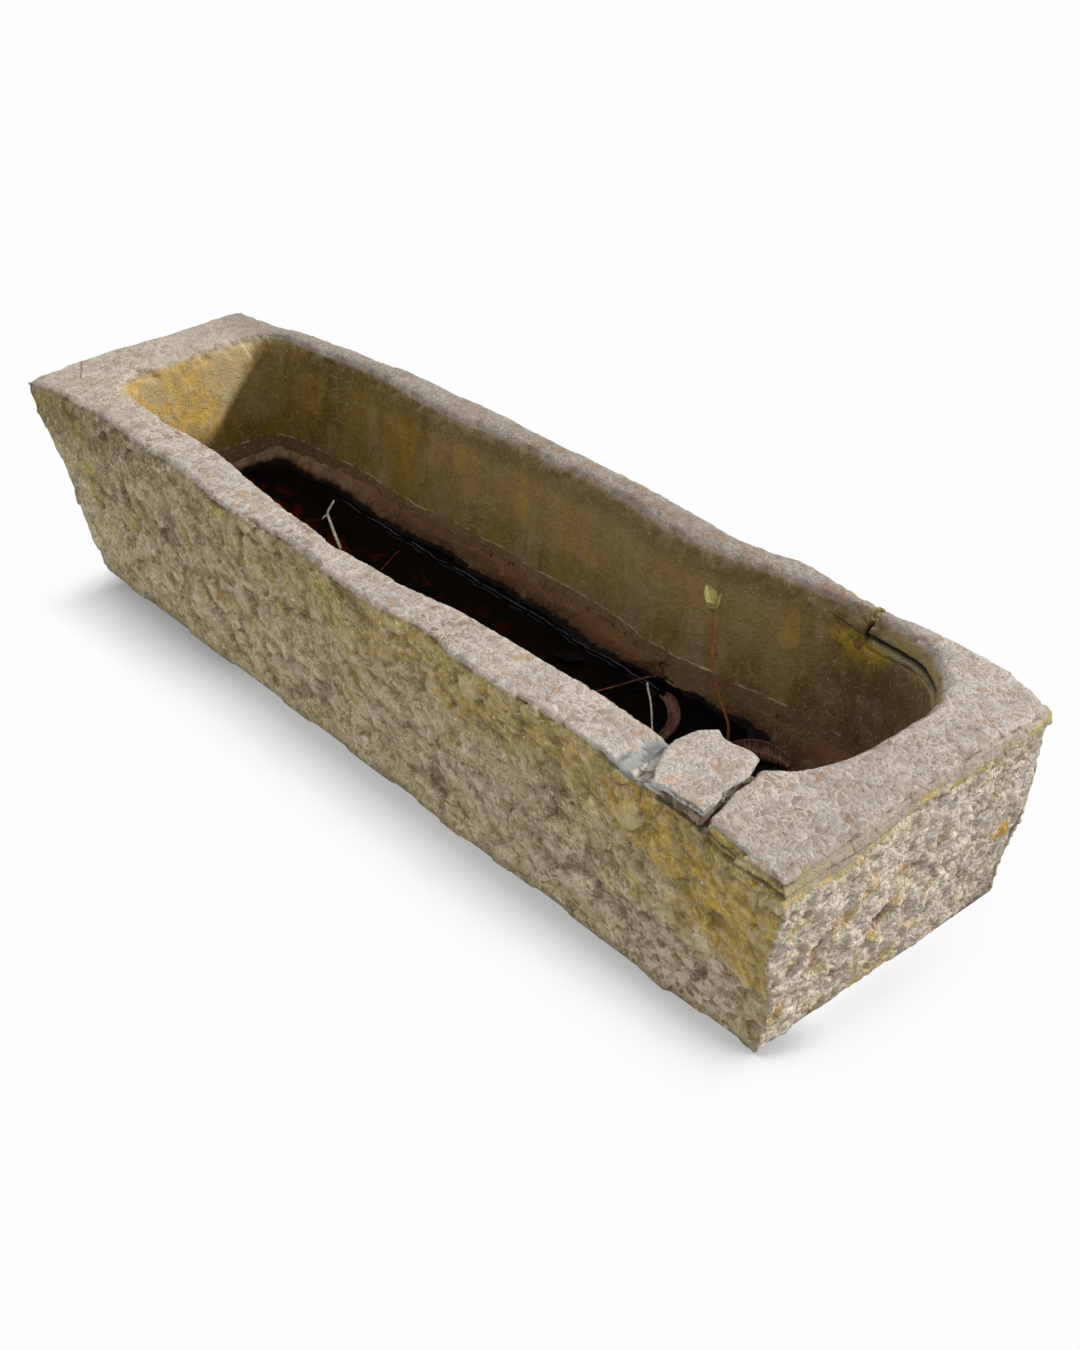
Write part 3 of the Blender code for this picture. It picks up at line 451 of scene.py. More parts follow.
def stone_relief():
    """Tree that rounds edges, hews the outside, roughens the right end and notes where each is."""
    sheet, wires, finish = shape_sheet("stone_relief",
        {"Seat Held": 0.0, "Rounding": 1.0,
        "Blur Steps": 26, "Rim Relief": 0.0032, "Hewn Relief": 0.0105,
        "Crust Relief": 0.01, "Edge Wear": 0.006})
    place = sheet.add("GeometryNodeInputPosition")
    normal = sheet.add("GeometryNodeInputNormal")
    x, y, z = place.split()
    nx, ny, nz = normal.split()
    left, right, near, far = wall_middles(x, y, z)

    # Where each finish is
    seat_line = SEAT_START - SEAT_SHIFT * y.rise(-0.09, 0.1)
    on_seat = wires["Seat Held"] * (x - seat_line).rise(-0.003, 0.003)
    top = nz.rise(0.5, 0.85) * z.rise(0.3, 0.32) * (1 - on_seat)
    under = (-nz).rise(0.55, 0.85)
    seat = on_seat * nz.rise(0.4, 0.7) * z.rise(0.3, 0.315)
    free = (1 - under) * (1 - seat)
    within = (left & right & (near & far)).rise(-0.004, 0.004)
    hollow = within * (1 - top) * free
    outside = (1 - within) * (1 - top) * free
    facing_right = nx.rise(0.35, 0.7) * x.rise(0.85, 0.88)
    broken_line = (place.cloud(0.03, 3.0, 0.6) - 0.5) * 0.022
    below_ledge = (z - ledge_height(y) + broken_line).rise(0.002, -0.004)
    crust = outside * facing_right * below_ledge
    smooth_band = outside * facing_right * (1 - below_ledge)
    hewn = outside * (1 - facing_right)
    lip = z.rise(0.325, 0.352) * nz.rise(0.15, 0.45) * nz.rise(0.96, 0.8) * free
    outer_lip = lip * (1 - within)
    corner = (1 - within) * free * abs(nx * ny).rise(0.18, 0.42)
    # Joint gaps: carved in a little, and noted so that the finish paints them dark as shade
    gap = (z - joint_height(y)).band(-0.0035, 0.0022, 0.0022) * (x - seat_line).rise(0.0, 0.02)
    near_gap = gap * outside * (-ny).rise(0.4, 0.7) * x.rise(0.8, 0.96)
    far_gap = gap * hollow
    scar = ((x + (place.cloud(0.03, 2.0) - 0.5) * 0.02).rise(0.686, 0.696) * x.rise(0.86, 0.845)
        * y.rise(-0.15, -0.18) * z.rise(0.325, 0.335) * z.rise(0.3735, 0.3705) * nz.rise(0.2, 0.5)
        * wires["Seat Held"])

    # The riser beside the upright crack, noted so that the finish paints it dark as shade
    upright_gap = (wires["Seat Held"] * nx.rise(0.4, 0.7) * z.rise(0.33, 0.338)
        * (x - seat_line).band(0.0, 0.012, 0.006) * y.rise(-0.15, -0.1) * z.rise(0.366, 0.35))

    # Hewn faces: tilted facets of two sizes over broad waves, with creases between the large ones
    bent = bent_place(place, 14.0, 0.045)
    stretched = bent @ (0.75, 0.75, 1.1)
    facets, border = facet_height(stretched, 0.046)
    small_facets, _ = facet_height(bent, 0.019)
    waves = place.cloud(0.15, 3.0) - 0.5
    grit = place.cloud(0.016, 5.0, 0.62) - 0.5
    creased = border.rise(0.055, 0.0) * place.cloud(0.075, 2.0).rise(0.46, 0.58)
    calm = ((0.3 + 0.7 * z.rise(0.0, 0.07)) * (1 - 0.88 * x.rise(-0.82, -0.93))
        * (1 - 0.5 * y.rise(0.2, 0.27)))
    hewn_height = calm * (wires["Hewn Relief"] * (waves * 0.85 + grit * 0.20 - creased * 0.32)
                          + facets * 0.38 + small_facets * 0.12)
    for along, up, half_width, half_height, lean, depth in side_chips:
        c, s = math.cos(math.radians(lean)), math.sin(math.radians(lean))
        a = ((x - along) * c + (z - up) * s) / half_width
        b = ((z - up) * c - (x - along) * s) / half_height
        hewn_height = hewn_height - depth * (a * a + b * b + grit * 1.6).rise(1.4, 0.5)

    # Rough end: rounded lumps of two sizes with dark gaps, and the recesses
    lumps = 0.4 - bent.cells(0.024)
    pebbles = 0.4 - bent.cells(0.012)
    broad = place.cloud(0.085, 2.0) - 0.5
    crust_height = (wires["Crust Relief"] * (lumps * 0.95 + pebbles * 0.75 + broad * 1.15 + grit * 0.4)
        + 0.004)
    crust_height = (crust_height * (1 - 0.55 * y.rise(0.16, 0.26)
        - 0.4 * y.rise(0.225, 0.265) * z.rise(0.26, 0.33)) * (0.45 + 0.55 * z.rise(0.0, 0.06)))
    crust_height = crust_height - 0.007 * y.rise(0.06, 0.26) * z.rise(0.29, 0.16)
    pitted = 0.0
    for across, up, half_width, half_height, lean, depth in end_pits:
        c, s = math.cos(math.radians(lean)), math.sin(math.radians(lean))
        a = ((y - across) * c + (z - up) * s) / half_width
        b = ((z - up) * c - (y - across) * s) / half_height
        recess = (a * a + b * b).rise(1.45, 0.45)
        crust_height = crust_height - 1.25 * depth * recess
        pitted = pitted + recess
    nodular = crust * (1 - (1.0 & pitted)) * place.cloud(0.045, 3.0, 0.6).rise(0.42, 0.58)
    nodular = nodular * (1 - y.rise(0.215, 0.25) * z.rise(0.26, 0.31))

    # Rim: gentle waves, grit and scattered small pits
    pits = place.cells(0.024).rise(0.2, 0.06) * place.cloud(0.07, 2.0).rise(0.5, 0.62)
    grains = bent.cells(0.011, "DISTANCE_TO_EDGE").rise(0.0, 0.18) - 0.7
    rim_height = (wires["Rim Relief"] * ((place.cloud(0.055, 3.0) - 0.5) * 1.3 + grit * 0.9 - pits * 0.9
        + grains * 0.22))

    # Hollow: shallow upright tool marks and broad waves
    drawn = place @ (1.0, 1.0, 0.22)
    marks = drawn.cloud(0.03, 3.0) - 0.5
    hollow_height = 0.0026 * marks + 0.007 * (place.cloud(0.11, 2.0) - 0.5) + 0.0026 * grit
    slanted = sheet.joined(x, y * 0.35 + z, y * 3.0 - z * 1.2)
    dressed_end = x.rise(-0.78, -0.82)
    hollow_height = hollow_height + dressed_end * 0.006 * (slanted.cloud(0.05, 4.0, 0.6) - 0.5)

    # Worn edges: a little everywhere, and chips where the noise is high
    chipped = place.cloud(0.038, 3.0, 0.6).rise(0.48, 0.64)
    jagged = place.cloud(0.02, 3.0, 0.65) - 0.45
    wear = wires["Edge Wear"] * (0.10 + 1.10 * chipped) * lip
    from_knob = sheet.vector("SUBTRACT", place, KNOB).length()
    swell_at_joint = (-0.0012 * facing_right * (z - joint_height(y)).band(0.0, 0.005, 0.004)
        * (1 - wires["Seat Held"]))
    height = (hewn * hewn_height + crust * crust_height + top * rim_height + hollow * hollow_height
        + smooth_band * (0.5 * rim_height - 0.001) - wear + corner * 0.026 * jagged
        * (0.15 + 0.85 * x.rise(0.7, 0.85) * y.rise(0.0, -0.1)) - 0.009 * near_gap - 0.006 * far_gap
        - 0.003 * scar * x.rise(0.722, 0.702) - 0.008 * from_knob.rise(0.05, 0.006) - swell_at_joint)

    # Rounded edges: a blur of the surface itself, strongest where the stone is most worn
    lifted = z.rise(0.33, 0.345) * (1 - on_seat) * (z - joint_height(y)).rise(0.008, 0.016)
    lifted = lifted | z.rise(0.325, 0.345) * x.rise(0.66, 0.62)
    far_side = far.rise(0.09, 0.06) * far.rise(0.002, 0.01)
    left_side = left.rise(0.09, 0.06) * left.rise(0.002, 0.01) * 0.6
    near_edge = near.rise(-0.01, -0.02)
    rolled = x.rise(-0.66, -0.48) * x.rise(0.18, -0.02) * near_edge
    knob = left.rise(-0.01, -0.03) * 0.9
    end_edge = right.rise(-0.006, -0.02)
    off_crack = 0.3 + 0.7 * abs(x - seat_line).rise(0.006, 0.045)
    rounding = (1.0 & 0.12 + far_side + left_side + rolled + knob + end_edge) * off_crack
    tip = from_knob.rise(0.075, 0.035) * z.rise(0.29, 0.31)
    inner_corner = within * left.rise(0.13, 0.08) * far.rise(0.13, 0.08) * z.rise(0.16, 0.2)
    blurred = sheet.add("GeometryNodeBlurAttribute", {"data_type": "FLOAT_VECTOR"},
        {0: place, "Iterations": wires["Blur Steps"], "Weight": (rounding * lifted | tip | inner_corner)
        * wires["Rounding"]})
    noted = sheet.put(wires["Geometry"], blurred)
    notes = {"rim": top, "hollow": hollow | seat, "crust": crust, "band": smooth_band, "lip": outer_lip,
             "gap": near_gap | far_gap | upright_gap, "scar": scar, "crease": creased * hewn,
             "nodular": nodular, "relief": height}
    for label, value in notes.items():
        noted = sheet.stored(noted, label, value)
    moved = sheet.moved(noted, normal.scaled(height))

    # The bed's surface beside the joint comes down to it, and nothing lies below the floor
    over_joint = ((1 - wires["Seat Held"]) * facing_right * (z - joint_height(y)).band(0.0, 0.0045, 0.002)
        * 0.006)
    return finish(sheet.put(moved, sheet.joined(x, y, (z - over_joint) | 0.0)))


def facet_height(place, pitch):
    """Height of broken facets, each a plane tilted its own way, and how far a place is from their borders."""
    sheet = place.sheet
    middle = sheet.add("ShaderNodeTexVoronoi", None, {"Vector": place, "Scale": 1 / pitch}, "Position")
    tilt = sheet.vector("SUBTRACT", middle.other("Color"), (0.5, 0.5, 0.5))
    off = sheet.vector("SUBTRACT", place, middle)
    return sheet.vector("DOT_PRODUCT", off, tilt).other("Value"), place.cells(pitch, "DISTANCE_TO_EDGE")


def roughened():
    """Tree that moves a small piece's surface in and out, for bark and leaf skin."""
    sheet, wires, finish = shape_sheet("roughened", {"Amount": 0.0004, "Pitch": 0.01, "Fuller": 0.0})
    place = sheet.add("GeometryNodeInputPosition")
    normal = sheet.add("GeometryNodeInputNormal")
    finer = sheet.vector("DIVIDE", place, sheet.joined(wires["Pitch"], wires["Pitch"], wires["Pitch"]))
    height = (finer.cloud(1.0, 3.0) - 0.5) * 2 * wires["Amount"] + wires["Fuller"]
    return finish(sheet.moved(wires["Geometry"], normal.scaled(height)))


# Stone finish

def worms(place, pitch, half, swirl=0.6):
    """1 along thin curling lines, 0 between them."""
    return abs(place.cloud(pitch, 2.0, 0.5, swirl) - 0.5).rise(half, half * 0.35)


def bent_place(place, scale, reach):
    """A place pushed about by noise, so that a pattern on it loses its straight lines."""
    push = place.sheet.add("ShaderNodeTexNoise", None, {"Vector": place, "Scale": scale, "Detail": 2.0}, 1)
    return place.sheet.vector("ADD", place, push.scaled(reach))


def mosaic(place, pitch, swirl):
    """Grains of broken shape: a number from 0 to 1 for each, and how far a place is from their borders."""
    bent = bent_place(place, 0.8 / pitch, swirl * pitch)
    chance = place.sheet.add("ShaderNodeSeparateColor", None, {0: bent.cells(pitch, out="Color")})
    return chance, bent.cells(pitch, "DISTANCE_TO_EDGE")


def stone_patterns(sheet, place):
    """The noise, grains and marks that the colours of the stone share, by name."""
    x, y, z = place.split()

    def noted(label):
        return sheet.add("ShaderNodeAttribute", {"attribute_type": "GEOMETRY",
            "attribute_name": label}).other("Fac")

    rim, hollow, crust, band, lip, gap, scar, crease, relief = (
        noted(n) for n in ("rim", "hollow", "crust", "band", "lip", "gap", "scar", "crease", "relief"))

    broad = place.cloud(0.26, 3.0)
    patches = place.cloud(0.085, 4.0, 0.6, 0.6)
    lumps = place.cloud(0.036, 4.0, 0.65, 0.4)
    blots = place.cloud(0.016, 4.0, 0.6, 0.8)
    specks = place.cloud(0.0055, 3.0, 0.7)
    threads = worms(place, 0.022, 0.03)
    fine_threads = worms(place.shifted(3.1, 1.7, 0.4), 0.011, 0.034)
    grain, grain_border = mosaic(place, 0.013, 0.75)
    stones, stone_border = mosaic(place.shifted(2.0, 5.0, 1.0), 0.034, 0.7)
    dots = place.shifted(1.3, 0.2, 0.9).cells(0.019).rise(0.17, 0.08)
    # Sunk and raised parts of the relief, for painted shade and painted highlight
    sunk = relief.rise(-0.0012, -0.006)
    raised_highlight = relief.rise(0.001, 0.006)
    small_grain, small_border = mosaic(place.shifted(4.0, 1.0, 3.0), 0.0095, 1.1)
    nodule, nodule_border = mosaic(place.shifted(9.0, 4.0, 7.0), 0.017, 0.9)
    nodule_line = nodule_border.rise(0.16, 0.05)
    curls = worms(place.shifted(1.1, 7.7, 2.4), 0.019, 0.05, 1.4)
    finer = place.shifted(0.0, 3.0, 9.0).cloud(0.06, 3.0, 0.6).rise(0.5, 0.56)
    grain = grain + finer * (small_grain - grain)
    grain_border = grain_border + finer * (small_border - grain_border)
    quiet = place.shifted(5.0, 0.0, 2.0).cloud(0.048, 3.0, 0.6).rise(0.4, 0.6)
    grain_line = grain_border.rise(0.15, 0.03) * (0.25 + 0.75 * quiet)
    stone_line = stone_border.rise(0.085, 0.02)
    shell, shell_border = mosaic(place.shifted(3.0, 8.0, 5.0), 0.027, 0.45)
    shell_line = shell_border.rise(0.15, 0.03)
    return dict(place=place, x=x, y=y, z=z, rim=rim, hollow=hollow, crust=crust, band=band, lip=lip,
        gap=gap, scar=scar, crease=crease, relief=relief, broad=broad, patches=patches, lumps=lumps,
        blots=blots, specks=specks, threads=threads, fine_threads=fine_threads, grain=grain,
        grain_border=grain_border, grain_line=grain_line, stones=stones, stone_border=stone_border,
        stone_line=stone_line, dots=dots, sunk=sunk, raised_highlight=raised_highlight, nodule=nodule,
        nodule_border=nodule_border, nodule_line=nodule_line, curls=curls, shell=shell,
        shell_line=shell_line)


def rim_colour(sheet, place, x, y, patches, lumps, blots, specks, threads, grain, grain_line, shell,
        shell_line, **others):
    """Rim and flake: pale grains of several tones with cream borders, and tan and grey patches."""
    tone = grain.ramp((0.0, (0.27, 0.195, 0.135)), (0.28, (0.4, 0.32, 0.245)),
        (0.5, (0.47, 0.425, 0.39)), (0.72, (0.56, 0.48, 0.42)), (1.0, (0.64, 0.595, 0.555)))
    tone.lay(lumps.rise(0.48, 0.6) * 0.6, (0.37, 0.275, 0.19))
    tone.lay(place.shifted(1.0, 0.0, 6.0).cloud(0.05, 4.0, 0.6, 0.5).rise(0.5, 0.62) * 0.6,
        (0.52, 0.49, 0.47))
    bleached = (x + (patches - 0.5) * 0.9).rise(0.25, 0.62)
    tone.lay(bleached * 0.3, (0.64, 0.61, 0.585))
    tone.lay(grain_line * blots.rise(0.4, 0.54) * 0.8, (0.78, 0.72, 0.64))
    shells = place.shifted(7.0, 2.0, 0.0).cloud(0.12, 2.0).rise(0.42, 0.56) * x.rise(0.9, 0.6)
    tone.lay(shells * 0.45, shell.ramp((0.0, (0.33, 0.255, 0.18)), (0.35, (0.48, 0.44, 0.4)),
        (0.6, (0.6, 0.54, 0.47)), (1.0, (0.42, 0.4, 0.38))))
    tone.lay(shell_line * shells * blots.rise(0.38, 0.56) * 0.55, (0.76, 0.7, 0.615))
    tone.lay(threads * 0.25, (0.76, 0.705, 0.63))
    tone.lay(specks.rise(0.4, 0.29) * 0.65, (0.155, 0.11, 0.075))
    rust = place.shifted(0.0, 8.0, 0.0).cloud(0.024, 3.0, 0.6, 0.5).rise(0.58, 0.66)
    tone.lay(rust * (0.55 - 0.35 * x.rise(-0.45, -0.7)), (0.47, 0.285, 0.15))
    stain = place.cloud(0.07, 4.0, 0.65, 0.5).rise(0.5, 0.6) * y.rise(0.185, 0.24)
    stain = stain * x.rise(-0.45, -0.1) * x.rise(0.78, 0.7)
    tone.lay(stain * blots.rise(0.38, 0.54) * 0.8, (0.45, 0.215, 0.08))
    lichen = place.shifted(0.5, 0.9, 0.1).cloud(0.03, 3.0, 0.6).rise(0.66, 0.72)
    tone.lay(lichen * patches.rise(0.45, 0.55) * 0.45, (0.52, 0.415, 0.17))
    tone.lay(x.rise(-0.6, -0.8) * 0.25, (0.52, 0.415, 0.27))
    tone.lay(y.rise(0.12, 0.19) * x.rise(0.8, 0.72) * 0.56, (0.29, 0.26, 0.228))
    off_mark = (x + 0.992) * 0.493 + (y + 0.139) * 0.870 + (blots - 0.5) * 0.008
    along_mark = (x + 0.992) * 0.870 - (y + 0.139) * 0.493
    mark = off_mark.band(0.0, 0.0006, 0.0018) * along_mark.band(0.048, 0.04, 0.01)
    tone.lay(mark * 0.7, (0.12, 0.09, 0.065))
    end_rim = x.rise(0.84, 0.92) * y.rise(0.2, 0.1)
    tone.tint(0.8 + 0.2 * end_rim, sheet.colours(end_rim, (0.8, 0.78, 0.76), (0.76, 0.735, 0.72)))
    return tone


def side_colour(sheet, place, x, y, z, crease, broad, patches, lumps, blots, specks, threads, grain,
        grain_line, stones, stone_line, dots, **others):
    """Hewn sides: stones of several browns, olive and grey patches, pale borders, and painted shade in the
    creases and under the rim.
    """
    tone = stones.ramp((0.0, (0.225, 0.165, 0.095)), (0.3, (0.33, 0.26, 0.14)),
        (0.55, (0.37, 0.31, 0.2)), (0.8, (0.44, 0.37, 0.245)), (1.0, (0.32, 0.3, 0.235)))
    tone.lay(lumps.rise(0.42, 0.6) * 0.55, (0.43, 0.355, 0.225))
    tone.lay(blots.rise(0.47, 0.36) * 0.45, (0.195, 0.15, 0.09))
    tone.lay(patches.rise(0.46, 0.6) * 0.55, (0.29, 0.25, 0.095))
    tone.lay(broad.rise(0.48, 0.64) * 0.45, (0.41, 0.345, 0.25))
    purple = (place.shifted(6.0, 0.0, 0.0).cloud(0.105, 3.0, 0.6).rise(0.44, 0.56) * z.rise(0.22, 0.13)
        * x.rise(0.1, 0.45))
    purple_tone = grain.ramp((0.0, (0.165, 0.11, 0.08)), (0.35, (0.27, 0.195, 0.15)),
        (0.65, (0.38, 0.31, 0.25)), (1.0, (0.48, 0.42, 0.35)))
    tone.lay(purple * 0.8, purple_tone)
    slate = place.shifted(2.0, 0.0, 4.0).cloud(0.08, 3.0, 0.6).rise(0.6, 0.68)
    tone.lay(slate * 0.65, (0.27, 0.275, 0.25))
    # Painted shade: a dark olive band under the rim, broken by patches
    painted_shade_under_rim = z.rise(0.27, 0.33) * patches.rise(0.35, 0.6)
    tone.lay(painted_shade_under_rim * 0.6, (0.215, 0.175, 0.065))
    tone.lay(blots.rise(0.54, 0.66) * 0.45, (0.52, 0.45, 0.31))

    # Gold lichen: the long patch at the right, its run along the top, and patches at the left
    along = (x - GOLD_START) / GOLD_LENGTH
    low_border = GOLD_LOW + GOLD_SPAN * along.ramp(*gold_low_stops)
    high_border = 0.356 - 0.150 * (x - 0.57)
    ragged = (patches - 0.5) * 0.11 + (lumps - 0.5) * 0.05
    gold = ((z - low_border + ragged).rise(-0.014, 0.02)
        * (high_border - z + ragged * 0.4).rise(-0.008, 0.01) * x.rise(0.53, 0.62) * (-y).rise(0.2, 0.24))
    top_run = x.rise(-0.55, 0.45) * (z + ragged).rise(0.235, 0.295) * 0.7
    strays = place.cloud(0.105, 3.0, 0.6, 0.4).rise(0.54, 0.65) * z.rise(0.06, 0.2) * 0.8
    edge_gold = (x + 0.08 * (RIM - z) / 0.1).rise(-0.88, -0.94) * patches.rise(0.36, 0.52) * 0.8
    moss = gold | top_run | (strays | edge_gold)
    gold_tone = sheet.colours(lumps.rise(0.42, 0.58), (0.26, 0.195, 0.03), (0.43, 0.3, 0.03))
    gold_tone.lay(blots.rise(0.5, 0.64) * 0.7, (0.6, 0.44, 0.075))
    gold_tone.lay(blots.rise(0.44, 0.34) * 0.7, (0.17, 0.14, 0.045))
    gold_tone.lay(grain.rise(0.62, 0.7) * 0.25, (0.36, 0.33, 0.18))
    tone.lay(moss * 0.88, gold_tone)
    tone.lay(stone_line * lumps.rise(0.47, 0.6) * (0.55 - 0.35 * moss), (0.6, 0.53, 0.395))
    tone.lay(threads * lumps.rise(0.45, 0.6) * (0.5 - 0.3 * moss), (0.59, 0.525, 0.39))
    tone.lay(grain_line * patches.rise(0.4, 0.52) * (0.5 - 0.24 * moss), (0.6, 0.53, 0.395))
    tone.lay(grain_line * patches.rise(0.5, 0.4) * (0.5 - 0.3 * moss), (0.11, 0.085, 0.048))
    tone.lay(grain.rise(0.74, 0.8) * (0.4 - 0.25 * moss), (0.5, 0.455, 0.36))
    tone.lay(grain.rise(0.26, 0.2) * (0.45 - 0.25 * moss), (0.15, 0.12, 0.065))
    tone.lay(z.rise(0.028, 0.006) * 0.6, (0.16, 0.15, 0.085))
    tone.lay(stone_line * place.cloud(0.06, 2.0).rise(0.47, 0.38) * 0.4, (0.11, 0.085, 0.05))
    # Painted shade: the creases between the large facets are darkened
    tone.lay(crease * 0.42, (0.085, 0.065, 0.038))
    # Lighter towards the bottom of the sides, with painted shade over the upper left of the near side, below
    # the rim
    low_left = sheet.colours(z.rise(0.24, 0.12), (1.14, 1.07, 0.95), (1.3, 1.23, 1.14))
    low_left.lay((z - 0.1 * x.rise(-0.8, -0.4)).rise(0.24, 0.3) * x.rise(-0.2, -0.6), (0.8, 0.735, 0.58))
    tone.tint(1.0, low_left)
    tone.lay(specks.rise(0.44, 0.31) * (0.72 - 0.34 * moss), (0.09, 0.068, 0.038))
    tone.lay(specks.rise(0.55, 0.68) * (0.6 - 0.35 * moss), (0.64, 0.57, 0.42))
    clusters = blots.rise(0.57, 0.66) * patches.rise(0.48, 0.58)
    tone.lay(clusters * (0.65 - 0.35 * moss), (0.76, 0.71, 0.58))
    tone.lay(dots * lumps.rise(0.52, 0.6) * 0.9, (0.86, 0.82, 0.69))
    return tone


def crust_colour(sheet, place, y, z, relief, patches, lumps, blots, specks, fine_threads, nodule,
        nodule_line, curls, **others):
    """Rough right end: nodules with cream curls between them, and painted shade in their seams and deep
    recesses.
    """
    tone = nodule.ramp((0.0, (0.3, 0.225, 0.14)), (0.22, (0.48, 0.41, 0.31)),
        (0.45, (0.52, 0.495, 0.45)), (0.7, (0.68, 0.6, 0.47)), (1.0, (0.46, 0.45, 0.425)))
    tone.lay(lumps.rise(0.46, 0.6) * 0.4, (0.52, 0.43, 0.31))
    tone.lay(patches.rise(0.5, 0.62) * 0.5, (0.5, 0.48, 0.445))
    tone.lay(blots.rise(0.46, 0.36) * 0.4, (0.33, 0.255, 0.165))
    tone.lay(nodule_line * lumps.rise(0.46, 0.56) * 0.62, (0.9, 0.86, 0.78))
    # Painted shade: dark seams between the nodules, in places
    tone.lay(nodule_line * lumps.rise(0.46, 0.38) * 0.55, (0.2, 0.155, 0.105))
    tone.lay(curls * lumps.rise(0.5, 0.6) * 0.55, (0.92, 0.885, 0.805))
    tone.lay(fine_threads * 0.18, (0.82, 0.76, 0.65))
    greyed = place.shifted(0.0, 6.0, 3.0).cloud(0.075, 3.0, 0.6).rise(0.48, 0.58)
    tone.lay(greyed * 0.5, (0.56, 0.555, 0.545))
    crust_gold = place.cloud(0.05, 3.0, 0.6).rise(0.54, 0.64) * y.rise(0.16, -0.06) * z.rise(0.3, 0.22)
    tone.lay(crust_gold * 0.65, (0.56, 0.42, 0.15))
    tone.lay(specks.rise(0.4, 0.28) * 0.5, (0.16, 0.115, 0.07))
    for across, up, half, stain in crust_stains:
        away = sheet.joined(0.0, y - across, z - up).length()
        tone.lay((away + (blots - 0.5) * 0.03).rise(half, half * 0.6) * 0.75, stain)
    tone.tint(1.0, (1.06, 0.985, 0.91))
    # Painted shade in the deep recesses of the relief
    tone.lay(relief.rise(-0.005, -0.012) * 0.55, (0.2, 0.15, 0.095))
    return tone


def band_colour(sheet, rim_tone, y, z, crust, band, patches, lumps, blots, specks, **others):
    """Smooth band above the ledge, and the lichen line along it: where it runs and its colour."""
    ledge = z - ledge_height(y) + (lumps - 0.5) * 0.018
    tone = sheet.colours(lumps.rise(0.42, 0.6), (0.395, 0.365, 0.3), (0.5, 0.47, 0.41))
    tone.lay(0.58 + 0.22 * patches.rise(0.45, 0.6), rim_tone)
    tone.lay(specks.rise(0.42, 0.3) * 0.5, (0.2, 0.165, 0.11))
    tone.tint(1.0, (0.93, 0.9, 0.845))
    tone.lay(y.rise(-0.1, -0.27) * patches.rise(0.36, 0.54) * 0.6, (0.39, 0.31, 0.13))
    line_half = 0.0014 + 0.005 * sheet.joined(0.0, y, 0.0).cloud(0.055, 2.0).rise(0.38, 0.62)
    line = (abs(ledge - 0.0015) - line_half + (blots - 0.5) * 0.01).rise(0.0022, -0.0022)
    on_end = (band + crust).rise(0.3, 0.6)
    line = line * on_end
    line = line * sheet.joined(0.0, y, 0.0).cloud(0.03, 3.0, 0.6).rise(0.42, 0.52) * specks.rise(0.34, 0.5)
    sprinkled = ledge.band(-0.012, 0.008, 0.014) * blots.rise(0.56, 0.62) * y.rise(-0.26, -0.12) * 0.55
    line = line | sprinkled * on_end
    line_tone = sheet.colours(blots.rise(0.42, 0.58), (0.4, 0.32, 0.125), (0.6, 0.47, 0.165))
    return tone, line, line_tone


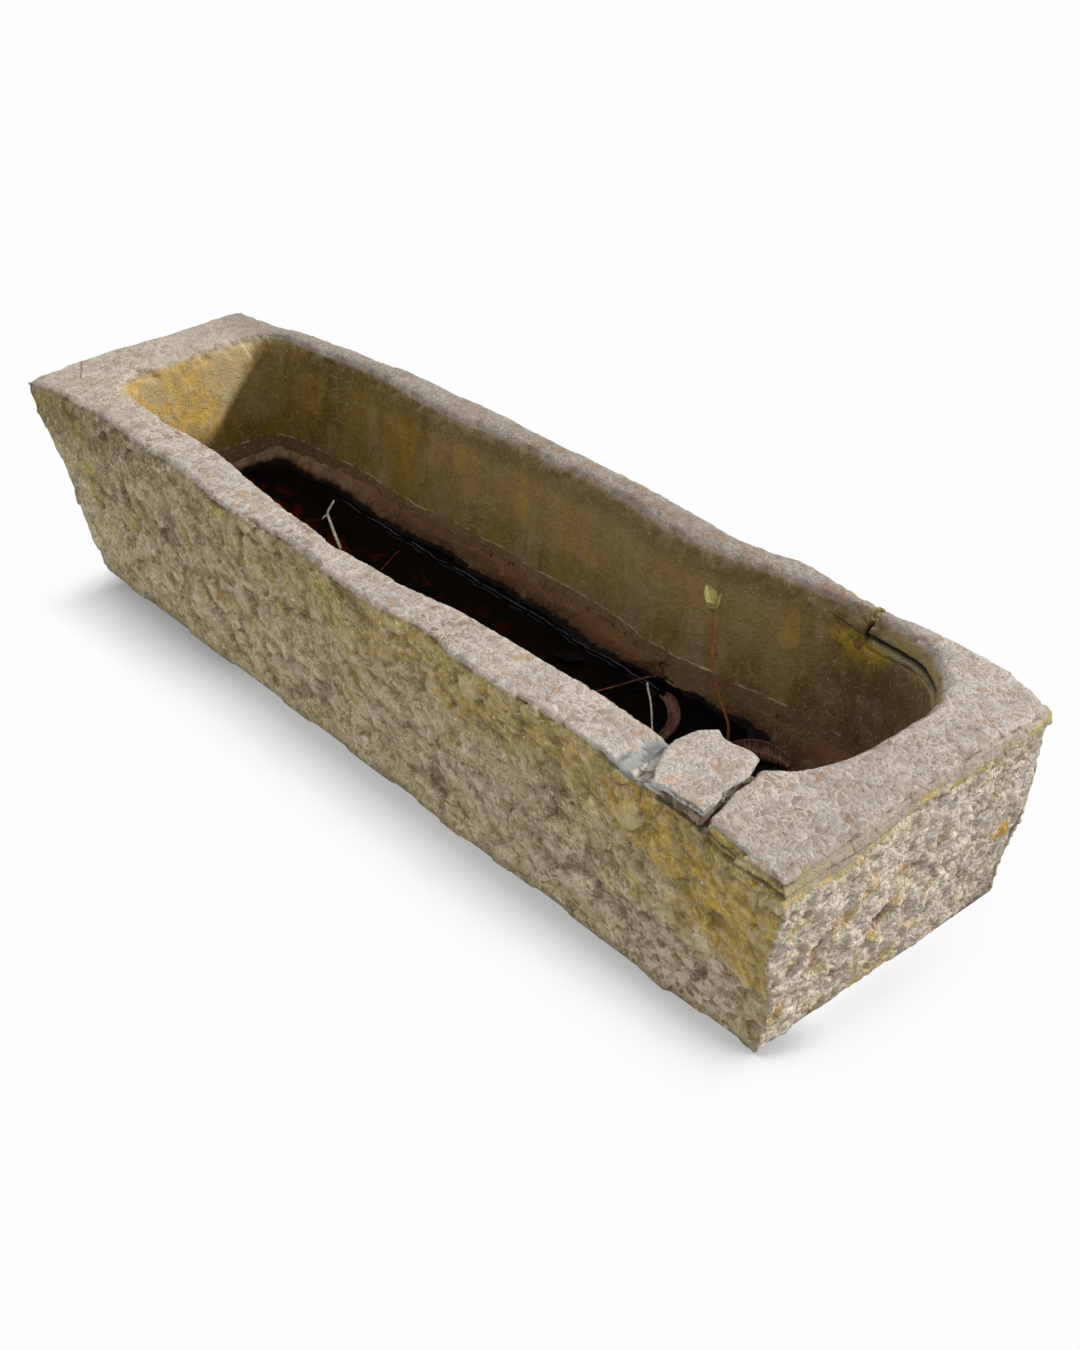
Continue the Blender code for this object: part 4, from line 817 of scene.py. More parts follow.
def wall_colour(sheet, x, y, z, patches, lumps, blots, specks, fine_threads, dots, **others):
    """Hollow: brown-olive walls with faint upright streaks, ochre left end, the old water line, painted shade
    under the lip and in the key's shadow.
    """
    upright = sheet.joined(x, y, z * 0.16 + (patches - 0.5) * 0.03)
    streaks = upright.cloud(0.06, 4.0, 0.6)
    tone = sheet.colours(streaks.rise(0.36, 0.62), (0.195, 0.13, 0.045), (0.32, 0.23, 0.11))
    tone.lay(patches.rise(0.46, 0.62) * 0.55, (0.19, 0.15, 0.045))
    tone.lay(lumps.rise(0.5, 0.66) * 0.45, (0.33, 0.265, 0.165))
    tone.lay(lumps.rise(0.46, 0.34) * 0.35, (0.125, 0.09, 0.038))
    tone.lay(blots.rise(0.54, 0.66) * 0.4, (0.35, 0.29, 0.18))
    tone.lay(blots.rise(0.45, 0.34) * 0.4, (0.1, 0.074, 0.03))
    for middle, top, bottom, half, strength in inner_streaks:
        gold_streak = ((x + (streaks - 0.5) * 0.08).band(middle, half * 0.4, half)
            * z.rise(bottom - 0.02, bottom + 0.02) * z.rise(top + 0.02, top - 0.02)
            * lumps.rise(0.36, 0.56) * y.rise(0.1, 0.14))
        tone.lay(gold_streak * strength, (0.47, 0.325, 0.018))
    olive = upright.shifted(0.0, 2.0, 0.0).cloud(0.11, 4.0, 0.6).rise(0.48, 0.6)
    tone.lay(olive * x.rise(0.55, 0.25) * 0.6, (0.29, 0.22, 0.03))
    grey_streaks = upright.shifted(4.0, 0.0, 0.0).cloud(0.075, 3.0, 0.6).rise(0.56, 0.68)
    tone.lay(grey_streaks * 0.55, (0.34, 0.295, 0.22))
    lighter = (x + (patches - 0.5) * 0.2).band(0.13, 0.34, 0.22) * z.rise(0.2, 0.25)
    tone.lay(lighter * 0.5, (0.4, 0.31, 0.175))
    slab_face = (z - joint_height(y)).rise(0.0, 0.004) * x.rise(0.7, 0.72) * y.rise(0.02, 0.06)
    tone.lay(slab_face * 0.65, (0.33, 0.28, 0.16))
    # Painted shade: a darker band down the top of the hollow's walls, just under the rim's lip
    painted_shade_under_lip = z.rise(0.31, 0.345) * x.rise(-0.76, -0.7)
    tone.lay(painted_shade_under_lip * (1 - slab_face) * 0.55, (0.115, 0.09, 0.052))
    pale_ledge = ((z - joint_height(y)).band(-0.0115, 0.0036, 0.003) * x.rise(0.685, 0.7)
        * y.rise(-0.02, 0.06))
    tone.lay(pale_ledge * 0.62, (0.4, 0.375, 0.3))
    moss_patch = (x.band(0.675, 0.03, 0.04) * (z + (lumps - 0.5) * 0.03).band(0.322, 0.006, 0.014)
        * y.rise(0.12, 0.16) * lumps.rise(0.38, 0.52))
    tone.lay(moss_patch * 0.75, (0.52, 0.4, 0.025))
    hair = z - 0.3368 - (0.695 - x) * 0.131 + (blots - 0.5) * 0.003
    hair_crack = (hair.band(0.0, 0.0004, 0.0012) * x.rise(0.6, 0.625) * x.rise(0.695, 0.69)
        * y.rise(0.12, 0.16))
    smears = sheet.joined(x, y, z * 0.4).cloud(0.028, 3.0, 0.6).rise(0.5, 0.6) * z.rise(0.338, 0.36)
    tone.lay(smears * 0.45, (0.42, 0.385, 0.33))
    left_end = x.rise(-0.77, -0.805)
    tooled = sheet.joined(x, y * 0.4 + z, y * 2.0 - z).cloud(0.04, 4.0, 0.6)
    ochre_end = sheet.colours(tooled.rise(0.4, 0.62), (0.56, 0.39, 0.11), (0.43, 0.34, 0.18))
    ochre_end.lay(lumps.rise(0.54, 0.66) * 0.55, (0.6, 0.51, 0.34))
    ochre_end.lay(blots.rise(0.55, 0.66) * 0.5, (0.68, 0.48, 0.12))
    ochre_end.lay(blots.rise(0.44, 0.36) * 0.4, (0.26, 0.205, 0.09))
    greyer = ((y + (patches - 0.5) * 0.12).rise(0.045, 0.085)
        | (sheet.joined(0.0, y + 0.072, (z - 0.328) * 0.8).length()
        + (lumps - 0.5) * 0.04).rise(0.03, 0.015))
    ochre_end.lay(greyer * 0.72, (0.44, 0.385, 0.265))
    ochre_end.lay((z + (patches - 0.5) * 0.05).rise(0.352, 0.366) * 0.6, (0.48, 0.43, 0.35))
    scratch = ((y - 0.135 + (z - 0.374) * 0.22 + (blots - 0.5) * 0.004).band(0.0, 0.0022, 0.003)
        * z.rise(0.308, 0.318))
    ochre_end.lay(scratch * 0.7, (0.7, 0.64, 0.48))
    deeper = sheet.colours(x.rise(-0.45, -0.75), (0.86, 0.78, 0.62), (0.66, 0.58, 0.36))
    deeper.lay(x.rise(0.52, 0.72) * z.rise(0.33, 0.31), (0.58, 0.51, 0.49))
    tone.tint(1.0, deeper)
    ochre_end.tint(1.0, (0.99, 0.93, 0.8))
    # Painted shadow: beyond the edge of the key light's cast shadow the ochre gives way to the darker wall
    # tone
    painted_key_shadow = (y - 0.175 + 0.95 * (0.368 - z) + (lumps - 0.5) * 0.02).rise(-0.01, 0.022)
    tone.lay(left_end * z.rise(0.19, 0.24) * (1 - 0.85 * painted_key_shadow), ochre_end)
    shelf = z - 0.178 - (upright.cloud(0.1, 3.0) - 0.5) * 0.02 - (lumps - 0.5) * 0.006
    tone.lay(shelf.rise(0.004, -0.004) * 0.65, (0.165, 0.095, 0.052))
    pale_shelf = shelf.rise(0.004, -0.004) * x.rise(-0.45, -0.65)
    tone.lay(pale_shelf * 0.55, (0.125, 0.085, 0.035))
    tide = shelf.band(0.0, 0.0008, 0.0018) * lumps.rise(0.44, 0.56)
    tone.lay(tide * 0.75, (0.44, 0.4, 0.29))
    tone.lay(fine_threads * lumps.rise(0.48, 0.62) * 0.22, (0.4, 0.34, 0.23))
    tone.lay(specks.rise(0.4, 0.28) * 0.5, (0.055, 0.04, 0.02))
    tone.lay(dots * blots.rise(0.46, 0.6) * 0.35, (0.46, 0.41, 0.31))
    tone.lay(specks.rise(0.57, 0.7) * 0.55, (0.42, 0.36, 0.25))
    tone.lay(hair_crack * 0.9, (0.03, 0.024, 0.014))
    return tone


def fresh_colour(sheet, x, y, lumps, blots, specks, **others):
    """The fresh break left of the flake: a blue-grey lens, then grit towards the flake."""
    tone = sheet.colours(lumps.rise(0.44, 0.56), (0.205, 0.21, 0.205), (0.355, 0.36, 0.35))
    tone.lay(specks.rise(0.58, 0.7) * 0.5, (0.56, 0.56, 0.54))
    tone.lay(specks.rise(0.42, 0.3) * 0.5, (0.115, 0.115, 0.105))
    gritty = sheet.colours(blots.rise(0.4, 0.58), (0.215, 0.175, 0.13), (0.6, 0.56, 0.49))
    lens = (x - 0.716 - 0.04 * y.rise(-0.262, -0.28) + (lumps - 0.5) * 0.024).rise(0.004, -0.004)
    return sheet.colours(lens, gritty, tone)


def stone_finish(name, kind="block"):
    """Finish of the stone pieces; kind is block, flake or layer."""
    sheet, finish = material_sheet(name)
    shared = stone_patterns(sheet, sheet.place())
    (x, y, z, rim, hollow, crust, band, lip, gap, scar, lumps, blots, specks, threads, grain_border,
     stone_border, sunk, raised_highlight, nodule_border, curls) = (
        shared[name] for name in (
            "x", "y", "z", "rim", "hollow", "crust", "band", "lip", "gap", "scar", "lumps", "blots",
            "specks", "threads", "grain_border", "stone_border", "sunk", "raised_highlight", "nodule_border", "curls"))
    if kind == "layer":
        tone = sheet.colours(blots.rise(0.42, 0.58), (0.15, 0.11, 0.075), (0.29, 0.235, 0.165))
    elif kind == "flake":
        broken_side = sheet.colours(blots.rise(0.42, 0.58), (0.3, 0.28, 0.24), (0.56, 0.54, 0.5))
        tone = sheet.colours(rim, broken_side, rim_colour(sheet, **shared))
        blotch = sheet.joined(x - 0.775, y + 0.25, 0.0).length()
        tone.lay((blotch + (blots - 0.5) * 0.05).rise(0.018, 0.004) * 0.55, (0.56, 0.31, 0.15))
    else:
        rim_tone = rim_colour(sheet, **shared)
        side_tone = side_colour(sheet, **shared)
        crust_tone = crust_colour(sheet, **shared)
        band_tone, line, line_tone = band_colour(sheet, rim_tone, **shared)
        wall_tone = wall_colour(sheet, **shared)
        fresh = fresh_colour(sheet, **shared)
        tone = sheet.colours(crust, side_tone, crust_tone)
        tone.lay(hollow, wall_tone)
        tone.lay(band, band_tone)
        tone.lay(rim, rim_tone)
        tone.lay(scar, fresh)
        tone.lay(lip * 0.5 * (1 - rim) * y.rise(-0.1, -0.2), (0.24, 0.205, 0.15))
        tone.lay(line, line_tone)
        # Painted shade: the joint gaps, the riser beside the upright crack and a line under the flake's near
        # edge are painted near black
        painted_shadow_under_flake = (x.band(0.805, 0.04, 0.01) * y.rise(-0.2, -0.26) * (1 - rim)
            * z.band(0.348, 0.003, 0.005))
        tone.lay(gap | painted_shadow_under_flake * 0.8, (0.022, 0.017, 0.012))
    # Painted shade in the sunk parts of the relief, and a painted highlight on its raised parts
    tone.lay(sunk * (1 - hollow) * (1 - rim) * (1 - scar) * (0.42 - 0.2 * crust), (0.105, 0.08, 0.048))
    tone.lay(raised_highlight * (1 - hollow) * (1 - rim) * 0.2, (0.78, 0.72, 0.6))

    rounded_grain = grain_border.rise(0.0, 0.3)
    height = (0.5 * specks * (1 - 0.55 * rim) + 0.5 * blots * (1 - 0.35 * rim) + 0.4 * lumps
        + 0.2 * threads + rounded_grain * (0.1 + 0.1 * rim) + nodule_border.rise(0.0, 0.32) * 0.62 * crust
        + 0.3 * curls * crust + 0.3 * stone_border.rise(0.0, 0.14) * (1 - hollow) * (1 - rim))
    return finish(tone, 0.86 + 0.12 * blots, 0.15,
                  height * (1 - 0.5 * scar) * (0.7 + 0.3 * (rim | crust)), 0.005, 0.9)


# Mud, water and litter finishes

def mud_finish():
    sheet, finish = material_sheet("bank_mud")
    place = sheet.place()
    x, y, z = place.split()
    lumps = place.cloud(0.026, 5.0, 0.62, 0.5)
    fine = place.cloud(0.0055, 3.0, 0.65)
    shore = z - POOL + (lumps - 0.5) * 0.009
    tone = sheet.colours(shore.rise(0.008, 0.026), (0.085, 0.038, 0.016), (0.175, 0.092, 0.038))
    tone.lay(place.cloud(0.045, 4.0, 0.6).rise(0.5, 0.64) * 0.6, (0.095, 0.062, 0.018))
    tone.lay(lumps.rise(0.52, 0.66) * 0.45, (0.215, 0.13, 0.068))
    tone.lay(fine.rise(0.57, 0.7) * 0.6, (0.27, 0.17, 0.095))
    tone.lay(fine.rise(0.43, 0.3) * 0.65, (0.048, 0.024, 0.013))
    crest = x.rise(-0.42, -0.66) * shore.rise(0.006, 0.014)
    tone.lay(crest * 0.75, sheet.colours(lumps.rise(0.4, 0.62), (0.23, 0.13, 0.072), (0.35, 0.22, 0.13)))
    tone.lay(shore.rise(0.0085, 0.0045), (0.006, 0.004, 0.003))
    return finish(tone, 0.8 + 0.15 * lumps, 0.12, 0.6 * lumps + 0.4 * fine, 0.011, 1.0)


def water_finish():
    sheet, finish = material_sheet("black_water")
    place = sheet.place()
    x, y, _ = place.split()
    patches = place.cloud(0.07, 4.0, 0.6, 0.8)
    red = (patches.rise(0.5, 0.66) * y.rise(0.1, 0.065) * x.rise(0.3, 0.05)
        * (0.35 + 0.65 * x.rise(-0.05, -0.3)))
    red = red | (y + (patches - 0.5) * 0.05).rise(-0.085, -0.115) * x.rise(0.55, 0.4) * 0.7
    tone = sheet.colours(red, (0.0012, 0.001, 0.001), (0.046, 0.003, 0.002))
    # Painted reflection: thin bluish lines along the film near the far shore stand for glints of the sky on
    # the water
    wavy = sheet.joined(x, 0.0, 0.0).cloud(0.1, 4.0, 0.55)
    shore = 0.134 - 0.02 * x.rise(-0.55, -0.72) - 0.004 * x.rise(0.0, 0.4)
    off = y - shore + (wavy - 0.5) * 0.030
    broken = place.cloud(0.045, 3.0, 0.6).rise(0.36, 0.5)
    film_glint = off.band(0.0, 0.0005, 0.0016) * broken
    second_film_glint = (off + 0.01 + (patches - 0.5) * 0.02).band(0.0, 0.0003, 0.0012)
    second_film_glint = second_film_glint * place.cloud(0.06, 2.0).rise(0.46, 0.56) * 0.6
    film_glint = (film_glint | second_film_glint) * x.rise(0.42, 0.3) * x.rise(-0.6, -0.53)
    tone.lay(film_glint * 0.9, (0.06, 0.066, 0.088))
    ripples = place.cloud(0.035, 3.0)
    return finish(tone, 0.06 + 0.3 * film_glint, 0.06, ripples + 1.5 * film_glint, 0.0012, 0.5)


def twig_finish(name, bark, worn, pitch=0.010):
    """Thin wood: bark streaked along the grain, with worn patches."""
    sheet, finish = material_sheet(name)
    place = sheet.place()
    patches = place.cloud(pitch, 4.0, 0.6)
    fine = place.cloud(pitch / 5, 3.0, 0.6)
    tone = sheet.colours(patches.rise(0.42, 0.62), bark, worn)
    tone.lay(fine.rise(0.4, 0.28) * 0.6, tuple(c * 0.3 for c in bark))
    return finish(tone, 0.62 + 0.25 * fine, 0.25, fine + patches, 0.0008, 0.8)


def leaf_finish(name, blade, edge, vein, roughness, ribs=9.0, slant=0.9, shine=0.3):
    """A leaf by its own map: a midrib, slanted side veins, and edges of another tone."""
    sheet, finish = material_sheet(name)
    along, across, _ = sheet.add("ShaderNodeUVMap", {"uv_map": "leaf"}).split()
    place = sheet.place()
    off = abs(across - 0.5) * 2
    midrib = off.rise(0.1, 0.02)
    turn = sheet.math("FRACT", (along - off * slant * 0.25) * ribs)
    side = abs(turn - 0.5).rise(0.16, 0.02) * 0.7
    veins = midrib | side
    patches = place.cloud(0.012, 4.0, 0.6)
    tone = sheet.colours(patches.rise(0.38, 0.62), blade, edge)
    tone.lay(off.rise(0.7, 1.0) * 0.5, edge)
    tone.lay(veins * 0.6, vein)
    return finish(tone, roughness, shine, 0.6 * patches - 0.5 * veins, 0.0012, 0.9)


def ribbed_finish():
    """The curled strip: pink-brown with uneven ribs across it."""
    sheet, finish = material_sheet("ribbed_strip")
    along, across, _ = sheet.add("ShaderNodeUVMap", {"uv_map": "leaf"}).split()
    place = sheet.place()
    patches = place.cloud(0.014, 4.0, 0.6)
    wander = sheet.joined(along, across * 0.3, 0.0).cloud(0.3, 3.0, 0.6)
    ribs = sheet.math("SINE", (along * 12.0 + wander * 5.0 + patches * 0.9) * 2 * math.pi)
    strong = place.cloud(0.02, 2.0).rise(0.38, 0.58)
    tone = sheet.colours(ribs.rise(-0.6, 0.8) * strong, (0.12, 0.048, 0.036), (0.255, 0.13, 0.096))
    tone.lay(patches.rise(0.52, 0.68) * 0.6, (0.32, 0.19, 0.13))
    return finish(tone, 0.7, 0.2, ribs * strong + patches, 0.001, 0.9)


# Stone pieces

def dressed_stone(node, name, net, smooths, relief, finish, slot, values, most, body="trough"):
    """A CAD node of stone with an even net, the relief and its finish."""
    piece = netted(copied(node, name), net, smooths)
    with_tree(piece, relief, {"Material": finish, **values})
    settled(piece)
    thinned(piece, most)
    return kept(piece, node, slot, body)


def scattered():
    """Tree that strews grains of uneven size and shape over the part of a piece that carries an attribute."""
    sheet, wires, finish = shape_sheet("scattered_grains",
        {"Noted As": "crust",
        "For Each Square Metre": 3000.0, "Small Radius": 0.002,
        "Large Radius": 0.006, "Sunk Share": 0.3, "Flatness": 0.7,
        "Seed": 1})
    there = sheet.add("GeometryNodeInputNamedAttribute", {"data_type": "FLOAT"},
        {"Name": wires["Noted As"]})
    points = sheet.add("GeometryNodeDistributePointsOnFaces", None,
        {"Mesh": wires["Geometry"], "Density": there.rise(0.6, 0.95) * wires["For Each Square Metre"],
        "Seed": wires["Seed"]})
    size = sheet.add("FunctionNodeRandomValue", {"data_type": "FLOAT"},
        {2: 0.0, 3: 1.0, "Seed": wires["Seed"]}, 1)
    radius = wires["Small Radius"] + (wires["Large Radius"] - wires["Small Radius"]) * size * size
    sized = sheet.stored(points, "grain_radius", radius)
    radius = sheet.add("GeometryNodeInputNamedAttribute", {"data_type": "FLOAT"}, {"Name": "grain_radius"})
    sunk = sheet.moved(sized, points.other("Normal").scaled(-(radius * wires["Sunk Share"])))
    ball = sheet.add("GeometryNodeMeshIcoSphere", None, {"Radius": 1.0, "Subdivisions": 2})
    placed = sheet.add("GeometryNodeInstanceOnPoints", None,
        {"Points": sunk, "Instance": ball, "Rotation": points.other("Rotation"),
        "Scale": sheet.joined(radius, radius * 0.8, radius * wires["Flatness"])})
    whole = sheet.add("GeometryNodeRealizeInstances", None, {"Geometry": placed})
    place = sheet.add("GeometryNodeInputPosition")
    uneven = (place.cloud(0.006, 2.0) - 0.5) * 0.9 * radius
    moved = sheet.moved(whole, sheet.add("GeometryNodeInputNormal").scaled(uneven))
    x, y, z = place.split()
    return finish(sheet.put(moved, sheet.joined(x, y, z | 0.0)))


def strewn(piece, name, tree, finish, slot, values):
    """Grains strewn over a finished piece, as a piece of their own."""
    grains = bpy.data.objects.new(name, piece.data.copy())
    bpy.context.scene.collection.objects.link(grains)
    with_tree(grains, tree, {"Material": finish, **values})
    settled(grains)
    return kept(grains, None, slot)


def stone_pieces():
    relief = stone_relief()
    finish = stone_finish("weathered_limestone")
    block = dressed_stone("trough_block", "hewn_block", BLOCK_NET, 3, relief, finish, "hewn_limestone",
                          {"Seat Held": 1.0}, BLOCK_TRIANGLES)
    dressed_stone("end_rim_slab", "split_rim_bed", SLAB_NET, 4, relief, finish, "rim_limestone",
                  {"Blur Steps": 58}, SLAB_TRIANGLES)
    dressed_stone("flake_lamina", "thin_brown_layer", FLAKE_NET, 1, relief,
                  stone_finish("brown_layer", "layer"), "brown_limestone",
                  {"Rim Relief": 0.001, "Hewn Relief": 0.003, "Rounding": 0.0}, LAYER_TRIANGLES)
    dressed_stone("loose_flake", "broken_flake", FLAKE_NET, 1, relief,
                  stone_finish("broken_limestone", "flake"), "rim_limestone",
                  {"Rim Relief": 0.0024, "Hewn Relief": 0.0036, "Edge Wear": 0.002, "Rounding": 0.0},
                  FLAKE_TRIANGLES, "flake")
    strewn(block, "end_nodules", scattered(), finish, "hewn_limestone",
           {"Noted As": "nodular", "For Each Square Metre": 2600.0, "Small Radius": 0.0022,
            "Large Radius": 0.0068, "Sunk Share": 0.45, "Flatness": 0.7, "Seed": 11})


# Mud and water

def mud_relief():
    """Tree that makes the open top of the mud lumpy and ragged at the shore, and notes the bank."""
    sheet, wires, finish = shape_sheet("mud_relief", {"Lumps": 0.0085})
    place = sheet.add("GeometryNodeInputPosition")
    _, _, nz = sheet.add("GeometryNodeInputNormal").split()
    _, _, z = place.split()
    open_top = nz.rise(0.2, 0.5) * z.rise(POOL - 0.014, POOL - 0.004)
    lumps = place.cloud(0.045, 5.0, 0.65, 0.5) - 0.5
    crumbs = 0.4 - place.cells(0.016)
    shore = z.band(POOL + 0.002, 0.008, 0.012)
    height = open_top * (wires["Lumps"] * (lumps * 1.8 + crumbs * 0.45) + shore * lumps * 0.018 - 0.0015)
    bank = sheet.stored(wires["Geometry"], "bank", open_top * z.rise(POOL + 0.006, POOL + 0.014))
    return finish(sheet.moved(bank, sheet.joined(0.0, 0.0, height)))


def mud_and_water():
    mud = netted(copied("silt_bed", "mud_bed"), MUD_NET, 1)
    with_tree(mud, mud_relief(), {"Material": mud_finish()})
    settled(mud)
    thinned(mud, MUD_TRIANGLES)
    strewn(mud, "mud_crumbs", scattered(), mud.data.materials[0], "mud",
           {"Noted As": "bank", "For Each Square Metre": 700.0, "Small Radius": 0.0014,
            "Large Radius": 0.0040, "Sunk Share": 0.3, "Flatness": 0.7, "Seed": 21})
    kept(mud, "silt_bed", "mud")

    # The water fills the dip and runs a little way under the shore
    low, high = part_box("standing_water")
    middle = (low + high) / 2
    ring = [v.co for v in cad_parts["standing_water"].data.vertices if v.co.z > high.z - 0.0005]
    ring = sorted({(round(p.x, 5), round(p.y, 5)) for p in ring},
        key=lambda p: math.atan2((p[1] - middle.y) / (high.y - low.y),
        (p[0] - middle.x) / (high.x - low.x)))
    wide_x = 1 + 2 * WATER_UNDER_SHORE / (high.x - low.x)
    wide_y = 1 + 2 * WATER_UNDER_SHORE / (high.y - low.y)
    bm = bmesh.new()
    top = bm.faces.new([bm.verts.new((middle.x + (px - middle.x) * wide_x,
        middle.y + (py - middle.y) * wide_y, high.z)) for px, py in ring])
    below = bmesh.ops.extrude_face_region(bm, geom=[top])["geom"]
    corners = [v for v in below if isinstance(v, bmesh.types.BMVert)]
    bmesh.ops.translate(bm, verts=corners, vec=(0, 0, -WATER_THICKNESS))
    bmesh.ops.recalc_face_normals(bm, faces=bm.faces[:])
    water = new_piece("pool_water", bm, water_finish())
    for face in water.data.polygons:
        face.use_smooth = False
    kept(water, "standing_water", "dark_water")


# Litter

def refined(node, name, finish, slot, rough, amount, pitch, leaf=False, fuller=0.0):
    """A CAD piece of litter with rounder form, rough skin and, for a leaf, a map along its length."""
    piece = copied(node, name)
    rounder = piece.modifiers.new("rounder", "SUBSURF")
    rounder.levels = rounder.render_levels = LITTER_LEVELS
    with_tree(piece, rough, {"Material": finish, "Amount": amount, "Pitch": pitch, "Fuller": fuller})
    settled(piece)
    if leaf:
        map_leaf(piece)
    return kept(piece, node, slot)


def map_leaf(piece):
    """Give a leaf its own map: along its longest direction, then across it."""
    count = len(piece.data.vertices)
    places = np.zeros(count * 3)
    piece.data.vertices.foreach_get("co", places)
    places = places.reshape(-1, 3)
    centred = places - places.mean(0)
    _, _, directions = np.linalg.svd(centred, full_matrices=False)
    shares = centred @ directions[:2].T
    low, high = shares.min(0), shares.max(0)
    shares = (shares - low) / (high - low)
    corners = np.zeros(len(piece.data.loops), dtype=np.int32)
    piece.data.loops.foreach_get("vertex_index", corners)
    layer = piece.data.uv_layers.new(name="leaf")
    layer.data.foreach_set("uv", shares[corners].astype(np.float32).ravel())


def litter():
    rough = roughened()
    pale = twig_finish("pale_twig", (0.46, 0.39, 0.30), (0.76, 0.70, 0.61))
    red = twig_finish("red_twig_bark", (0.085, 0.022, 0.014), (0.200, 0.060, 0.032))
    white = twig_finish("bleached_stick", (0.42, 0.36, 0.29), (0.66, 0.61, 0.54))
    stem = twig_finish("seedling_bark", (0.300, 0.105, 0.030), (0.400, 0.165, 0.050), 0.014)
    root = twig_finish("rootlet_skin", (0.17, 0.014, 0.01), (0.33, 0.036, 0.02))
    curled = leaf_finish("dry_curled_leaf", (0.1, 0.034, 0.024), (0.17, 0.078, 0.054),
                         (0.21, 0.11, 0.075), 0.62, 7.0)
    ribbed = ribbed_finish()
    wet = leaf_finish("wet_black_leaf", (0.0016, 0.0012, 0.001), (0.004, 0.0025, 0.002),
                      (0.012, 0.007, 0.005), 0.6, shine=0.03)
    green = leaf_finish("bud_leaf", (0.36, 0.30, 0.085), (0.225, 0.205, 0.055), (0.50, 0.41, 0.16), 0.50)
    tan = leaf_finish("side_leaf_skin", (0.52, 0.38, 0.17), (0.42, 0.25, 0.09), (0.60, 0.50, 0.30), 0.50)

    # Node, name, finish, slot, height and pitch of the rough skin, whether it is a leaf, extra thickness
    pieces = [
        ("forked_twig", "pale_forked_twig", pale, "pale_wood", 0.0007, 0.012),
        ("root_thread", "red_rootlet", root, "red_wood", 0.0002, 0.006),
        ("red_twig", "dark_red_twig", red, "red_wood", 0.0005, 0.009),
        ("pale_stick", "bleached_stick", white, "pale_wood", 0.0005, 0.009),
        ("seedling_stem", "seedling_stem_bark", stem, "red_stem", 0.0003, 0.009, False, 0.0007),
        ("curled_leaf", "dry_leaf_curl", curled, "dry_leaf", 0.0009, 0.014, True),
        ("bark_curl", "ribbed_strip_curl", ribbed, "bark", 0.0008, 0.016, True),
    ]
    for node, name, finish, slot, amount, pitch, count in (
            ("wet_leaf", "drowned_leaf", wet, "wet_leaf", 0.0010, 0.013, 7),
            ("top_leaf", "bud_leaf", green, "young_leaf", 0.0003, 0.008, 3),
            ("side_leaf", "side_leaf_blade", tan, "young_leaf", 0.0003, 0.008, 2)):
        for number in range(1, count + 1):
            pieces.append((f"{node}_{number}", f"{name}_{number}", finish, slot, amount, pitch, True))
    for node, name, finish, slot, *skin in pieces:
        refined(node, name, finish, slot, rough, *skin)


# Camera, light and floor

def camera():
    azimuth, elevation, roll = (math.radians(v) for v in (CAMERA_AZIMUTH, CAMERA_ELEVATION, CAMERA_ROLL))
    back = Vector((math.sin(azimuth) * math.cos(elevation), -math.cos(azimuth) * math.cos(elevation),
                   math.sin(elevation)))
    right = Vector((0, 0, 1)).cross(back).normalized()
    up = back.cross(right)
    right, up = right * math.cos(roll) + up * math.sin(roll), up * math.cos(roll) - right * math.sin(roll)
    data = bpy.data.cameras.new("camera")
    data.lens, data.sensor_width = CAMERA_LENS, SENSOR
    data.clip_start, data.clip_end = 0.05, 60.0
    made = bpy.data.objects.new("camera", data)
    made.matrix_world = Matrix.Translation(CAMERA_PLACE) @ Matrix((right, up, back)).transposed().to_4x4()
    bpy.context.scene.collection.objects.link(made)
    bpy.context.scene.camera = made


def seen_directly(sheet):
    """1 for rays that reach the background from the camera, or by a mirror or clear piece."""
    path = sheet.add("ShaderNodeLightPath")
    seen = path.other("Is Camera Ray") | path.other("Is Glossy Ray")
    return seen | path.other("Is Transmission Ray")


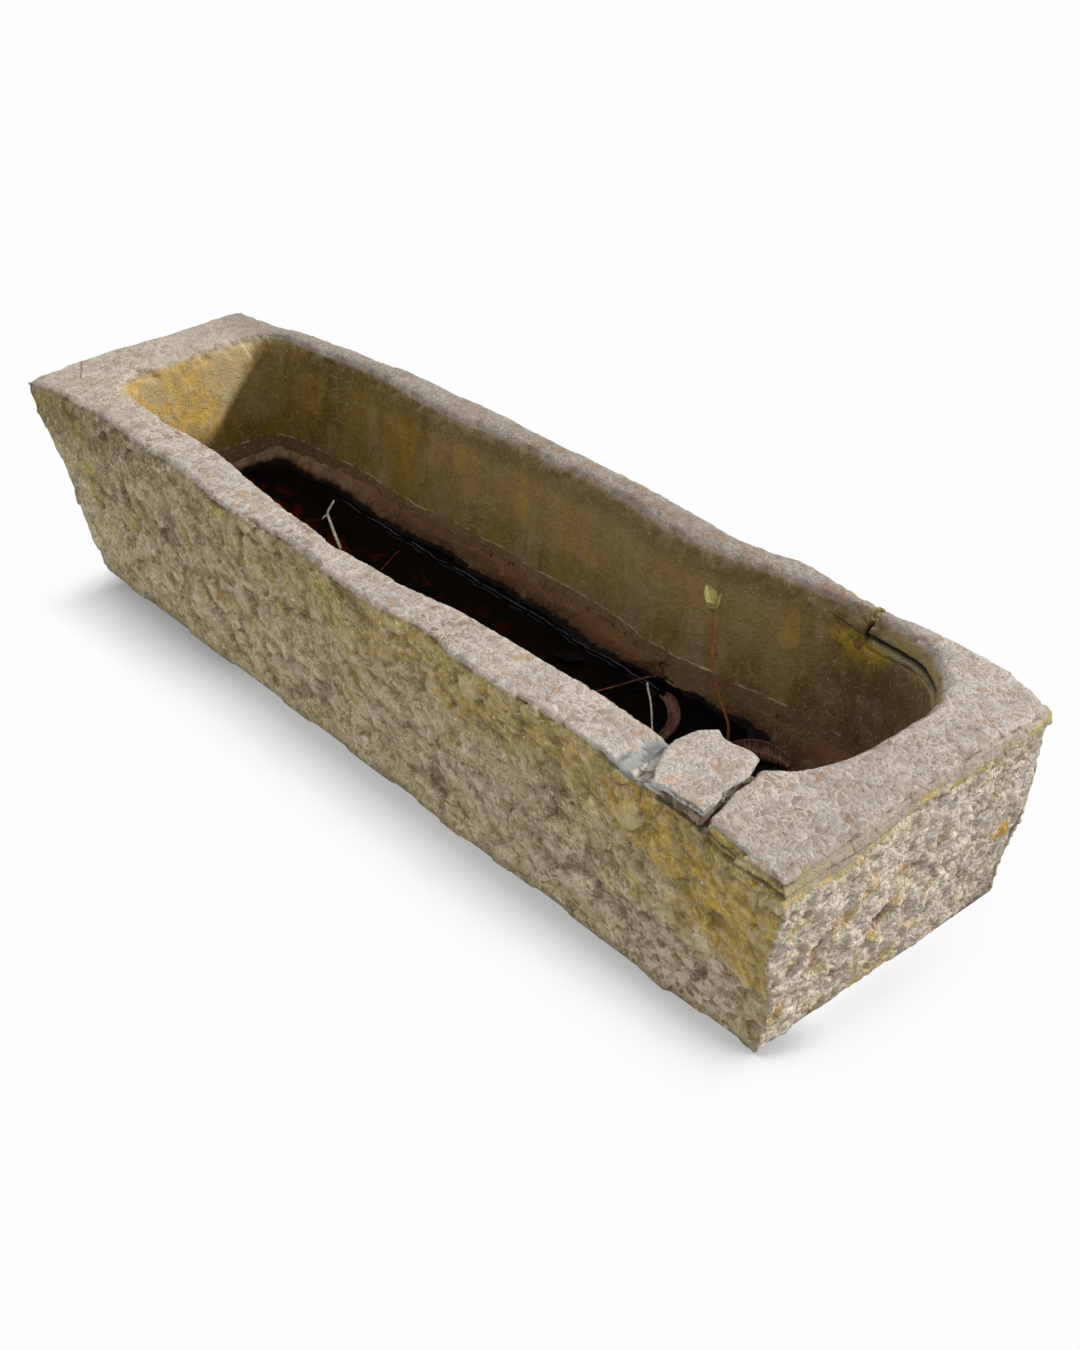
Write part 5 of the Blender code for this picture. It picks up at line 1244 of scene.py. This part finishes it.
def surroundings():
    world = bpy.data.worlds.new("white_room")
    world.use_nodes = True
    world.node_tree.nodes.clear()
    sheet = Sheet(world.node_tree)
    lit = sheet.add("ShaderNodeBackground", None, {"Color": (1, 1, 1), "Strength": SKY})
    white = sheet.add("ShaderNodeBackground", None, {"Color": (1, 1, 1), "Strength": 1.0})
    mixed = sheet.add("ShaderNodeMixShader", None, {0: seen_directly(sheet), 1: lit, 2: white})
    sheet.add("ShaderNodeOutputWorld", None, {"Surface": mixed})
    bpy.context.scene.world = world

    bm = bmesh.new()
    bmesh.ops.create_circle(bm, cap_ends=True, segments=96, radius=FLOOR_RADIUS)
    floor = new_piece("floor", bm)
    material = bpy.data.materials.new("white_floor")
    material.use_nodes = True
    material.node_tree.nodes.clear()
    sheet = Sheet(material.node_tree)
    x, y, _ = sheet.place().split()
    # Painted shadow: for camera rays the floor glows white, greyed by ambient occlusion near the trough and,
    # by place, mostly along its near side
    clear = sheet.add("ShaderNodeAmbientOcclusion", {"samples": 16}, {"Distance": SHADOW_REACH}, "AO")
    fading = (1.5 + 1.1 * x.rise(0.3, 0.9) + 1.4 * x.rise(0.92, 0.95) - 0.12 * x.rise(0.1, -0.2)
              - 0.42 * x.rise(-0.3, -0.6))
    shade = (1.0 & (1 - clear) * 2.0) ** fading
    shaded_side = (y.rise(-0.12, -0.21) * x.rise(-0.88, -0.74) * x.rise(0.99, 0.89)
        * (0.8 + 0.34 * x.rise(-0.2, -0.6)))
    reach = 1.0 & 0.015 + 0.985 * shaded_side + 0.17 * x.rise(0.9, 0.945) * y.rise(0.2, -0.05)
    glow = sheet.add("ShaderNodeEmission", None, {"Color": sheet.colours(shade * reach,
        (0.985, 0.985, 0.985), SHADOW_TONE), "Strength": 1.0})
    matte = sheet.add("ShaderNodeBsdfDiffuse", None, {"Color": (0.9, 0.9, 0.9)})
    both = sheet.add("ShaderNodeMixShader", None, {0: seen_directly(sheet), 1: matte, 2: glow})
    sheet.add("ShaderNodeOutputMaterial", None, {"Surface": both})
    floor.data.materials.append(material)

    data = bpy.data.lights.new("key", "SUN")
    data.energy = KEY
    data.angle = math.radians(KEY_ANGLE)
    data.color = (1.0, 0.97, 0.92)
    key = bpy.data.objects.new("key", data)
    key.matrix_world = Vector(KEY_FROM).to_track_quat("Z", "Y").to_matrix().to_4x4()
    bpy.context.scene.collection.objects.link(key)
    unlit = bpy.data.collections.new("not_lit_by_key")
    unlit.objects.link(floor)
    key.light_linking.receiver_collection = unlit
    unlit.collection_objects[0].light_linking.link_state = "EXCLUDE"
    bpy.context.scene.view_settings.view_transform = "Standard"


camera()
surroundings()
stone_pieces()
mud_and_water()
litter()
